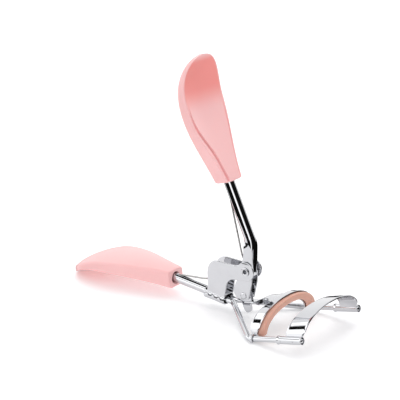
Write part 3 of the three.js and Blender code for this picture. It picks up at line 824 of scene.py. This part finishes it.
def guide_wire(name, side):
    root = ARM @ Vector((WIRE_ROOT_DEPTH, 0, 0))
    tip_x = ROD_LENGTH * math.cos(ROD_TILT)
    tip_z = ELBOW_HEIGHT + ROD_LENGTH * math.sin(ROD_TILT)
    corners = [
        (root.x, side * WIRE_ROOT_Y, root.z),
        (LEG_START[0], side * WIRE_ROOT_Y, LEG_START[1]),
        (0, side * ROD_Y, ELBOW_HEIGHT),
        (tip_x, side * ROD_Y, tip_z),
    ]
    return combine(name, [wire(rounded_path(corners, ELBOW_TANGENT), WIRE_RADIUS, 28, 0.8)])


# ---- arches

ARCH_STEPS = 96
ARCH_POWER = 2.2
ARCH_FOOT = 0.25
ARCH_LEAN = 0.29
PAD_HALF_WIDTH = 15.5
PAD_HEIGHT = 9.15
PAD_THICKNESS = 2.4
PAD_REAR = 2.3
PAD_DEPTH = 2.8
PAD_CORNER = 0.72
SHEET = 0.5
EYELET_RADIUS = 1.37  # of the middle of its sheet
EYELET_SHEET = 0.54
EYELET_HALF_GAP = 40  # degrees
PLATE_REAR = 14.8
PLATE_WIDTH = 7.2
PLATE_HALF_SPAN = 16.2
PLATE_HEIGHTS = (7.35, 7.95)  # at its rear and front edges
PLATE_MIDDLE_HEIGHT = 7.65
PLATE_LEANS = (0.25, 0.21)
PLATE_TUCK = 0.9  # how far its front corners are drawn in at the feet


def arch_point(half_width, height, angle):
    """A point of a squarish arch in (y, v), where v is measured square to the rods."""
    across, up = math.cos(angle), max(0.0, math.sin(angle))
    y = half_width * math.copysign(abs(across) ** (2 / ARCH_POWER), across)
    return y, ARCH_FOOT + height * up ** (2 / ARCH_POWER)


def arch_frame(angle, half_width=PAD_HALF_WIDTH, height=PAD_HEIGHT):
    """A point of the arch and its outward direction, in (y, v)."""
    here = Vector(arch_point(half_width, height, angle))
    small = 0.004
    ahead = Vector(arch_point(half_width, height, min(math.pi, angle + small)))
    behind = Vector(arch_point(half_width, height, max(0.0, angle - small)))
    along = (ahead - behind).normalized()
    return here, Vector((along.y, -along.x))


def arch_angles():
    """Angles along an arch, closer together at its feet, where the curve is tightest."""
    angles = []
    for i in range(ARCH_STEPS + 1):
        t = i / ARCH_STEPS
        angles.append(math.pi * (t - 0.35 * math.sin(4 * math.pi * t) / (4 * math.pi)))
    return angles


def sweep_arch(section, sheet=False):
    """Sweeps a section along the pad's arch. section(angle) gives points (s, depth), where depth
    is measured outwards from the pad's outer face."""
    rings = []
    for angle in arch_angles():
        here, outward = arch_frame(angle)
        ring = []
        for s, depth in section(angle):
            point = here + outward * depth
            level = max(ARCH_FOOT, point.y)
            ring.append((s + ARCH_LEAN * level, point.x, point.y))
        rings.append(ring)
    return loft(rings, sheet=sheet)


def rounded_box(low_s, high_s, low_d, high_d, radius, steps=5):
    """A closed section in (s, depth) with rounded corners."""
    ring = []
    for cx, cy, start in (
        (high_s - radius, high_d - radius, 0),
        (low_s + radius, high_d - radius, 90),
        (low_s + radius, low_d + radius, 180),
        (high_s - radius, low_d + radius, 270),
    ):
        ring += arc((cx, cy), radius, start, start + 90, steps)
    return ring


def lash_pad():
    """The pad's section is round-shouldered, and shrinks at the two feet into soft ends."""
    def section(angle):
        end = 1 - step(math.sin(angle), 0.0, 0.05)
        inset = 0.35 * end
        return rounded_box(PAD_REAR + inset, PAD_REAR + PAD_DEPTH - inset,
                           -PAD_THICKNESS + inset, -inset, PAD_CORNER - 0.2 * end)

    pad = sweep_arch(section)
    return combine("lash_pad", [moved(pad, RODS)])


def gutter():
    """The arched sheet over the pad, and the wall behind the pad that carries it."""
    def section(angle):
        level = arch_point(PAD_HALF_WIDTH, PAD_HEIGHT, angle)[1]
        narrow_at_feet = 2.0 * (1 - step(level, 0.4, 3.2))
        narrow_on_top = 1.2 * step(level, 7.2, 9.0)
        rear = -0.7 + narrow_at_feet + narrow_on_top
        lip = PAD_REAR + 0.6 * step(level, 1.2, 3.2)
        line = [(lerp(rear, lip, i / 10), 0.35) for i in range(11)]
        return sheet_section(line, SHEET)

    def wall(angle):
        return rounded_box(PAD_REAR - 0.6, PAD_REAR - 0.1, -PAD_THICKNESS - 0.1, 0.4, 0.12, 3)

    return [sweep_arch(section, sheet=True), sweep_arch(wall)]


TONGUE_REAR, TONGUE_FRONT = -12.2, 4.2
NECK_END = -8.3
NECK_HALF_WIDTH, FLARE_HALF_WIDTH = 0.8, 7.6
NECK_LEVEL = 7.05
TONGUE_CROWN = 1.35
RIB_HEIGHT = 0.26
LINK_REACH = 9.3  # from the rivet to the link pin
LINK_LAG = math.radians(-19.5)  # how far behind the rivet the link pin lies, open


def tongue():
    """The crowned tongue, with two ribs pressed along it."""
    sections = []
    count, half_count = 64, 24
    for i in range(count + 1):
        s = lerp(TONGUE_REAR, TONGUE_FRONT, i / count)
        flare = max(0.0, (s - NECK_END) / (TONGUE_FRONT - NECK_END))
        half = lerp(NECK_HALF_WIDTH, FLARE_HALF_WIDTH, flare)
        climb = step(s, NECK_END - 0.3, NECK_END + 7.0)
        centre = NECK_LEVEL + 1.6 * climb + 0.95 * flare
        drop = TONGUE_CROWN * step(s, NECK_END, NECK_END + 4.2)
        rib = RIB_HEIGHT * step(s, NECK_END + 0.6, NECK_END + 3) * (1 - step(s, -2.0, 0.6))
        line = []
        for k in range(2 * half_count + 1):
            across = -1 + k / half_count
            lift = rib * math.exp(-((abs(across) - 0.5) * half / 0.5) ** 2)
            line.append((half * across, centre - drop * across * across + lift))
        sections.append((s, sheet_section(line, SHEET)))
    return stack(sections, sheet=True)


def link_place():
    """The link pin's place in the rods' frame."""
    x, z = PIVOT
    rise = z - ELBOW_HEIGHT
    s = x * math.cos(ROD_TILT) + rise * math.sin(ROD_TILT)
    v = rise * math.cos(ROD_TILT) - x * math.sin(ROD_TILT)
    return s + LINK_REACH * math.sin(LINK_LAG), v - LINK_REACH * math.cos(LINK_LAG)


def lug():
    """The blade under the tongue, with the upright slot that the link pin runs in."""
    s, v = link_place()
    low, high = v - 0.53, v + 1.9
    slot_half, radius, half_thickness = 1.25, 2.05, 0.65
    blade = [(s + radius, low), (s + radius, high)]
    blade += arc((s, high), radius, 0, 180, 24)[1:]
    blade.append((s - radius, low - 1))
    blade += bend_curve(blade[-1], (s - radius - 0.4, 3.4), (s - 0.4, 3.2), 8)
    blade += bend_curve(blade[-1], (s + 1.0, 3.2), (s + 1.0, 4.8), 8)
    blade += bend_curve(blade[-1], (s + 1.1, 6.4), (s + radius, 6.7), 8)
    slot = arc((s, high), slot_half, 0, 180, 20) + arc((s, low), slot_half, 180, 360, 20)
    return plate(blade, -half_thickness, half_thickness, 0.12, [slot])


def eyelet(side):
    """A loop rolled round a rod, left open underneath."""
    start, end = EYELET_HALF_GAP - 90, 270 - EYELET_HALF_GAP
    circle = arc((side * ROD_Y, 0), EYELET_RADIUS, start, end, 40)
    rims = ((1.25, 0.5), (1.33, 0.85), (1.42, 1.0), (2.08, 1.0), (2.17, 0.85), (2.25, 0.5))
    sections = [(s, sheet_section(circle, EYELET_SHEET * share)) for s, share in rims]
    return stack(sections, sheet=True)


def rod_bores(radius, low, high):
    """Cutters that clear a way for both guide rods, from low to high along them."""
    bores = []
    for side in (-1, 1):
        turn = Matrix.Translation((0, side * ROD_Y, 0)) @ Matrix.Rotation(-math.pi / 2, 4, "Z")
        bores.append(moved(cylinder_along_y((0, 0), radius, low, high), RODS @ turn))
    return bores


def moving_jaw():
    parts = [*gutter(), tongue(), lug(), eyelet(-1), eyelet(1)]
    return combine("moving_jaw", [moved(part, RODS) for part in parts], rod_bores(1.09, -1.0, 5.0))


def fixed_plate():
    """The arched band. Its front edge is the higher one, and is tucked in at the feet."""
    rings = []
    across_count = 14
    for angle in arch_angles():
        line = []
        for k in range(across_count + 1):
            t = k / across_count
            y, v = arch_point(PLATE_HALF_SPAN, lerp(*PLATE_HEIGHTS, t), angle)
            tuck = PLATE_TUCK * t * (1 - step(v, 0.0, 3.5))
            line.append((PLATE_REAR + PLATE_WIDTH * t + lerp(*PLATE_LEANS, t) * v - tuck, y, v))
        outward = arch_frame(angle, PLATE_HALF_SPAN, PLATE_MIDDLE_HEIGHT)[1]
        rings.append(thick_line(line, Vector((0, outward.x, outward.y)), SHEET))
    return loft(rings, sheet=True)


def thick_line(line, normal, thickness):
    """A sheet's outline round a line in space, given the sheet's normal."""
    flat = [(p[0], 0.0) for p in line]
    last = len(line) - 1
    order = [*range(last + 1), *[last] * LIP_POINTS, *range(last, -1, -1), *[0] * LIP_POINTS]
    ring = []
    for index, point in zip(order, sheet_section(flat, thickness)):
        along = Vector((point.x - flat[index][0], 0, 0))
        ring.append(Vector(line[index]) + along + normal * point.y)
    return ring


END_SLEEVE_START = 12.2
DIMPLES = (1.7, 6.6)  # places of the crimp dimples along the sleeve
DIMPLE_RADIUS, DIMPLE_DEPTH = 0.42, 0.24


def end_sleeve(side):
    """The end of the band rolled round a rod, with a flared mouth and two crimp dimples."""
    bore, steps, sides = 1.05, 60, 40
    profile = [(0.0, 1.46, 1.26), (0.08, 1.55, 1.2), (0.22, 1.56, 1.14), (0.5, 1.45, 1.07),
               (0.85, 1.36, bore)]
    profile += [(lerp(0.9, 9.35, i / steps), END_SLEEVE_RADIUS, bore) for i in range(steps + 1)]
    profile += [(9.5, 1.34, bore), (9.62, 1.29, 1.06), (9.7, 1.2, 1.1)]
    rings = []
    for i in range(sides):
        angle = 2 * math.pi * i / sides
        turn = math.pi - abs(angle - math.pi) if side > 0 else abs(angle - math.pi)
        outer, inner = [], []
        for x, outside, inside in profile:
            far = min(math.hypot((x - place) / DIMPLE_RADIUS, turn * 1.35 / DIMPLE_RADIUS)
                      for place in DIMPLES)
            dent = DIMPLE_DEPTH * (1 - step(far, 0.0, 1.0))
            for wall, radius in ((outer, outside - dent), (inner, inside)):
                wall.append((END_SLEEVE_START + x, side * ROD_Y + radius * math.cos(angle),
                             radius * math.sin(angle)))
        rings.append(outer + inner[::-1])
    return loft(rings, closed=True)


def fixed_jaw():
    parts = [fixed_plate(), end_sleeve(-1), end_sleeve(1)]
    return combine("fixed_jaw", [moved(part, RODS) for part in parts], rod_bores(1.05, 11.0, 23.0))


# ---- upper lever

LEVER_HALF = 1.95
LEVER_SHEET = 0.5
LEVER_SEAM_HALF_GAP = 0.36
CHANNEL_LOW = 15.6
CHANNEL_CORNER = 0.75
CHANNEL_END, TUBE_START = 25.0, 31.5  # heights between which the channel turns into a tube
FRONT_LOW = (-9.75, CHANNEL_LOW)
FRONT_CORNER = (-9.65, 27.75)
FRONT_TANGENT = 1.8
FORK_INNER = 1.43
FORK_HOLE = 0.85
# Height, and how far the flanges reach back from the front line there.
FLANGE_DEPTHS = ((15.0, 5.55), (17.2, 5.4), (18.6, 4.5), (20.2, 3.95), (22.0, 3.6), (29.0, 3.5))


def lever_front():
    """The front line of the lever in (x, z), from the fork up to the upper grip."""
    up = Vector((math.cos(LEVER_ANGLE), math.sin(LEVER_ANGLE)))
    ahead = Vector((up.y, -up.x))
    corner = Vector(FRONT_CORNER)
    top = Vector(BEND) + ahead * TUBE_RADIUS + up * (math.dist(BEND, LEVER_MOUTH) + GRIP_SOCKET)
    start = Vector(FRONT_LOW)
    low = corner - Vector((0.02, FRONT_TANGENT))
    high = corner + up * FRONT_TANGENT
    low_count, count = 14, 40
    line = [start]
    line += [start.lerp(low, i / low_count) for i in range(1, low_count + 1)]
    line += [Vector(p) for p in bend_curve(tuple(low), tuple(corner), tuple(high), 10)]
    reach = (top - high).length
    line += [high + up * (reach * i / count) for i in range(1, count + 1)]
    return line


def channel_line(depth, count=40):
    """Mid-line of the channel in (back, y): flange, rounded corner, web, corner, flange."""
    half = LEVER_HALF - LEVER_SHEET / 2
    first = LEVER_SHEET / 2
    radius = CHANNEL_CORNER
    flange = depth - first - radius
    quarter = math.pi * radius / 2
    web = half - radius
    total = flange + quarter + web
    points = []
    for i in range(count + 1):
        s = (2 * i / count - 1) * total
        sign, s = math.copysign(1, s), abs(s)
        if s < web:
            back, y = first, s
        elif s < web + quarter:
            turn = (s - web) / radius
            back = first + radius * (1 - math.cos(turn))
            y = web + radius * math.sin(turn)
        else:
            back, y = first + radius + (s - web - quarter), half
        points.append((back, sign * y))
    return points


def tube_line(count=40):
    """Mid-line of the tube in (back, y), with its seam at the back."""
    radius = TUBE_RADIUS - LEVER_SHEET / 2
    points = []
    for i in range(count + 1):
        angle = (2 * i / count - 1) * (math.pi - LEVER_SEAM_HALF_GAP)
        points.append((TUBE_RADIUS - radius * math.cos(angle), radius * math.sin(angle)))
    return points


def fork_outline():
    shape = [(-11.1, 6.9), (-9.8, 13.0), (-9.72, 17.0), (-15.1, 17.0), (-15.2, 16.4), (-15.9, 13.0)]
    shape += bend_curve(shape[-1], (-18.2, 8.8), (-16.6, 7.2), 12)
    shape += bend_curve(shape[-1], (-15.4, 6.1), (-13.4, 6.2), 8)
    shape += bend_curve(shape[-1], (-11.9, 6.3), (-11.1, 6.9), 6)[:-1]
    return shape


def upper_lever():
    """A channel that rolls shut into a tube higher up, with a fork for the link pin below."""
    front = lever_front()
    tube = tube_line()
    rings = []
    for place, along in zip(front, directions_along(front)):
        back = Vector((-along.y, along.x))
        share = step(place.y, CHANNEL_END, TUBE_START)
        channel = channel_line(look_up(FLANGE_DEPTHS, place.y))
        line = [(lerp(c[0], t[0], share), lerp(c[1], t[1], share)) for c, t in zip(channel, tube)]
        spots = [(place + back * depth, y) for depth, y in sheet_section(line, LEVER_SHEET)]
        rings.append([(spot.x, y, spot.y) for spot, y in spots])
    hole = arc(LINK_PIN, FORK_HOLE, 0, 360, 32)[:-1]
    fork = plate_pair(fork_outline(), FORK_INNER, LEVER_HALF - 0.02, hole)
    pivot_bore = cylinder_along_y(PIVOT, PIVOT_BORE, -4, 4)
    return combine("upper_lever", [loft(rings, sheet=True), *fork], [pivot_bore])


def link_pin():
    """A pin with a round-edged head at each end."""
    shank, head, face, end = 0.8, 1.2, 2.0, 2.3
    profile = [(0.05, -end), (0.6, -end + 0.01), (0.95, -end + 0.05), (1.12, -end + 0.12),
               (head, -end + 0.24), (head, -face), (shank, -face)]
    profile += [(r, -y) for r, y in reversed(profile)]
    rings = [[(x, y, z) for x, z in arc(LINK_PIN, r, 0, 360, 40)[:-1]] for r, y in profile]
    return combine("link_pin", [loft(rings)])


# ---- spring

SPRING_WIRE = 0.3  # radius
SPRING_COIL = 1.37  # radius of the coil's middle line
SPRING_TURNS = 2.25
SPRING_PITCH = 0.62
SPRING_LANE = -1.1  # y where the coil runs out into the lower leg
SPRING_UPPER_LANE = 1.1  # y of the turn that the upper leg starts with


def coil_point(angle, y):
    return (PIVOT[0] + SPRING_COIL * math.cos(angle), y, PIVOT[1] + SPRING_COIL * math.sin(angle))


def through(points, per_span=6):
    """A smooth path through the points."""
    points = [Vector(p) for p in points]
    padded = [2 * points[0] - points[1], *points, 2 * points[-1] - points[-2]]
    path = [points[0]]
    for a, b, c, d in zip(padded, padded[1:], padded[2:], padded[3:]):
        for i in range(1, per_span + 1):
            t = i / per_span
            path.append(0.5 * (
                2 * b + (c - a) * t + (2 * a - 5 * b + 4 * c - d) * t * t
                + (3 * b - a - 3 * c + d) * t ** 3
            ))
    return path


def spring_coil():
    """The coil round the rivet, and the leg that lies along the arm."""
    steps = 36
    points = []
    for i in range(steps + 1):
        turned = SPRING_TURNS * i / steps
        angle = -0.5 * math.pi - 2 * math.pi * turned
        points.append(coil_point(angle, SPRING_LANE + SPRING_PITCH * turned))
    points.reverse()
    points += [(-16.5, -1.0, 14.9), (-24.0, -0.6, 11.6), (-30.5, -0.2, 9.5), (-34.5, 0, 8.9),
               (-38.5, 0, 8.5), (-42.2, 0, 8.0)]
    return combine("spring_coil", [wire(through(points), SPRING_WIRE, 14)])


def spring_upper_leg():
    steps = 10
    points = []
    for i in range(steps + 1):
        points.append(coil_point((0.4 - 1.5 * i / steps) * math.pi, SPRING_UPPER_LANE))
    points += [(-14.6, SPRING_UPPER_LANE, 18.9), (-16.0, 1.0, 21.6), (-17.2, 0.7, 27.0),
               (-18.7, 0.3, 34.0), (-20.5, 0, 42.0), (-21.6, 0, 45.4)]
    return combine("spring_upper_leg", [wire(through(points), SPRING_WIRE, 14)])


# ---- grips

GRIP_LENGTH = 43.6
GRIP_WIDEST = 28.5  # distance of the widest place from the mouth
GRIP_HALF_WIDTH = 10.3
MOUTH_HALF_WIDTH = 4.1
MOUTH_HALF_THICKNESS = 3.15
TIP_HALF_THICKNESS = 0.92
GRIP_BOW = 4.3
GRIP_CURL = 4.48
GRIP_DISH = 1.5
GRIP_CROWN = 1.3
MOUTH_EDGE = 0.45
OUTLINE_POWER, BOW_POWER, THINNING_POWER = 3.1, 1.5, 1.3
LOWER_GRIP_MOUTH, LOWER_GRIP_ANGLE = (-43.7, 6.44), math.radians(187.6)
UPPER_GRIP_MOUTH, UPPER_GRIP_ANGLE = (-20.9, 47.3), math.radians(105.9)


def smoother(value, low, high):
    """As step, but with its curvature smooth at both ends too."""
    t = min(1.0, max(0.0, (value - low) / (high - low)))
    return t * t * t * (t * (6 * t - 15) + 10)


def grip_half_width(t):
    if t > GRIP_WIDEST:
        past = (t - GRIP_WIDEST) / (GRIP_LENGTH - GRIP_WIDEST)
        return GRIP_HALF_WIDTH * math.sqrt(max(0.006, 1 - past ** OUTLINE_POWER))
    low, high = -9, GRIP_WIDEST + 3
    start, end = smoother(0, low, high), smoother(GRIP_WIDEST, low, high)
    return lerp(MOUTH_HALF_WIDTH, GRIP_HALF_WIDTH, (smoother(t, low, high) - start) / (end - start))


def grip_centre(t):
    if t > GRIP_WIDEST:
        past = (t - GRIP_WIDEST) / (GRIP_LENGTH - GRIP_WIDEST)
        return GRIP_CURL * past * past - GRIP_BOW
    return -GRIP_BOW * (1 - (1 - t / GRIP_WIDEST) ** BOW_POWER)


def grip_half_thickness(t):
    return lerp(MOUTH_HALF_THICKNESS, TIP_HALF_THICKNESS, (t / GRIP_LENGTH) ** THINNING_POWER)


# From the edge of the raised thumb face outwards: distance in from the grip's side, and depth
# below the face. A narrow groove runs at the foot of the raised face, beside a shelf.
THUMB_LEDGE = ((1.6, 0.0), (1.44, 0.01), (1.34, 0.05), (1.28, 0.14), (1.25, 0.4), (1.23, 0.8),
               (1.17, 1.2), (1.04, 1.4), (0.82, 1.36), (0.66, 1.1), (0.55, 0.74), (0.45, 0.54))
LEDGE_DEPTH = 0.52
LEDGE_FADES = (17, 30)  # from and to, along the grip
LEDGE_BULGE, BULGE_PLACE, BULGE_SPREAD = 1.2, 11, 6.5  # on one side the groove bulges inwards
THUMB_EDGE = 0.28
TIP_EDGE = 0.9
EDGE_SOFTENS = (18, 32)
BACK_EDGE = 1.15
# where along the grip the painted shade in the thumb's dish fades in, and out again near the tip
DISH_SHADE_STARTS, DISH_SHADE_ENDS = (24, 33), (41, 43.4)


def grip_section(t, inset):
    """Section of a grip in (y, z). The thumb face is dished and stands proud of a shelf round
    it; the back is crowned and has softer shoulders."""
    half = grip_half_width(t) - inset
    thick = grip_half_thickness(t) - inset
    dish = GRIP_DISH * (1 - step(t, GRIP_LENGTH - 8, GRIP_LENGTH)) * step(t, 1, GRIP_WIDEST)
    crown = GRIP_CROWN * step(t, -6, 14)
    ledge = 1 - step(t, *LEDGE_FADES)
    edge = min(lerp(THUMB_EDGE, TIP_EDGE, step(t, *EDGE_SOFTENS)), 0.45 * thick, 0.3 * half)
    back = min(BACK_EDGE, 0.75 * thick, 0.4 * half)
    shrink = min(1.0, half / 3.0)
    bulge = LEDGE_BULGE * math.exp(-((t - BULGE_PLACE) / BULGE_SPREAD) ** 2)
    ring = []
    for mirror in (1, -1):
        inner = max(0.0, edge - 0.4) + (bulge if mirror == 1 else 0.0)
        side = [(half - (d + inner) * shrink, -depth * ledge) for d, depth in THUMB_LEDGE]
        side += [(half - edge + x, -LEDGE_DEPTH * ledge - edge + z)
                 for x, z in arc((0, 0), edge, 90, 0, 5)]
        profile = [(side[0][0] * i / 16, 0.0) for i in range(16)] + side
        run = [(mirror * y, thick + z - dish * (1 - (min(y, half) / half) ** 2)) for y, z in profile]
        if mirror == 1:
            back_arc = arc((half - back, -thick + back), back, 0, -90, 8)
            span = half - back
            swell = crown * (1 - (span / half) ** 2)
            ring = run[1:] + back_arc
            for i in range(1, 24):
                y = lerp(span, -span, i / 24)
                ring.append((y, -thick - crown * (1 - (y / half) ** 2) + swell))
            ring += [(-y, z) for y, z in reversed(back_arc)]
        else:
            ring += list(reversed(run))
    middle = grip_centre(t)
    return [(y, z + middle) for y, z in ring]


def grip_solid():
    """A grip in its own frame: x from the mouth to the tip, z outwards to the thumb's side."""
    count, edge = 84, MOUTH_EDGE
    stations = [(0.0, edge), (0.06, 0.55 * edge), (0.2, 0.2 * edge), (edge, 0.0)]
    for i in range(1, count + 1):
        share = math.sin(0.5 * math.pi * i / count)
        stations.append((lerp(edge, GRIP_LENGTH - TIP_EDGE, share), 0.0))
    for along, inset in ((0.6, 0.08), (0.36, 0.2), (0.17, 0.38), (0.05, 0.6), (0.01, 0.75)):
        t = GRIP_LENGTH - along
        stations.append((t, min(inset, 0.5 * grip_half_width(t))))
    return stack([(t, grip_section(t, inset)) for t, inset in stations])


def paint_dish_shade(piece, to_grip):
    """Notes on each point how deep in the thumb's dish it lies, as the mask for the painted shade
    there.
    """
    mark = piece.data.attributes.new("dish", "FLOAT", "POINT")
    for vertex, value in zip(piece.data.vertices, mark.data):
        t, y, z = to_grip @ vertex.co
        along = min(max(t, 0.0), GRIP_LENGTH)
        if z < grip_centre(along) - 0.6 * grip_half_thickness(along):
            continue
        margin = grip_half_width(along) - abs(y)
        value.value = step(t, *DISH_SHADE_STARTS) * (1 - step(t, *DISH_SHADE_ENDS)) * step(margin, 0.3, 1.0)


def grip_matrix(mouth, angle, side):
    """From a grip's own frame to its mouth (x, z); side says which way its thumb face looks."""
    c, s = math.cos(angle), math.sin(angle)
    return Matrix((
        (c, 0, -side * s, mouth[0]),
        (0, side, 0, 0),
        (s, 0, side * c, mouth[1]),
        (0, 0, 0, 1),
    ))


def socket(mouth, angle, radius):
    """The bore that takes a tube, with a small countersink at its mouth."""
    stations = [(-2.0, radius + 0.25), (0.25, radius + 0.25), (0.5, radius), (SOCKET_SHOWN, radius)]
    solid = stack([(x, arc((0, 0), r, 0, 360, 48)[:-1]) for x, r in stations])
    return moved(solid, side_matrix(mouth, angle))


def grip(name, mouth, angle, side, tube_mouth, tube_angle):
    place = grip_matrix(mouth, angle, side)
    body = moved(grip_solid(), place)
    piece = combine(name, [body], [socket(tube_mouth, tube_angle, SOCKET_RADIUS)])
    paint_dish_shade(piece, place.inverted())
    return piece


# ---- assembly

make_camera()
make_world()
make_softbox()
make_floor()
bpy.context.scene.view_settings.view_transform = "Standard"

chrome = chrome_material()
spring_steel = spring_material()
pink = plastic_material()
silicone = silicone_material()

lower = grip("lower_grip", LOWER_GRIP_MOUTH, LOWER_GRIP_ANGLE, 1, ARM_MOUTH, ARM_ANGLE)
upper = grip("upper_grip", UPPER_GRIP_MOUTH, UPPER_GRIP_ANGLE, -1, LEVER_MOUTH, LEVER_ANGLE)
pad = lash_pad()

finish_piece(lower, "frame", "lower_grip", pink)
finish_piece(upper, "lever", "upper_grip", pink)
finish_piece(pad, "carriage", "lash_pad", silicone)

for node, piece, body in (
    ("lower_arm", lower_arm(), "frame"),
    ("pivot_bracket", pivot_bracket(), "frame"),
    ("pivot_rivet", pivot_rivet(), "frame"),
    ("guide_wire_left", guide_wire("guide_wire_left", 1), "frame"),
    ("guide_wire_right", guide_wire("guide_wire_right", -1), "frame"),
    ("fixed_jaw", fixed_jaw(), "frame"),
    ("upper_lever", upper_lever(), "lever"),
    ("link_pin", link_pin(), "lever"),
    ("moving_jaw", moving_jaw(), "carriage"),
):
    finish_piece(piece, body, node, chrome)

finish_piece(spring_coil(), "frame", "spring_coil", spring_steel)
finish_piece(spring_upper_leg(), "lever", "spring_upper_leg", spring_steel)
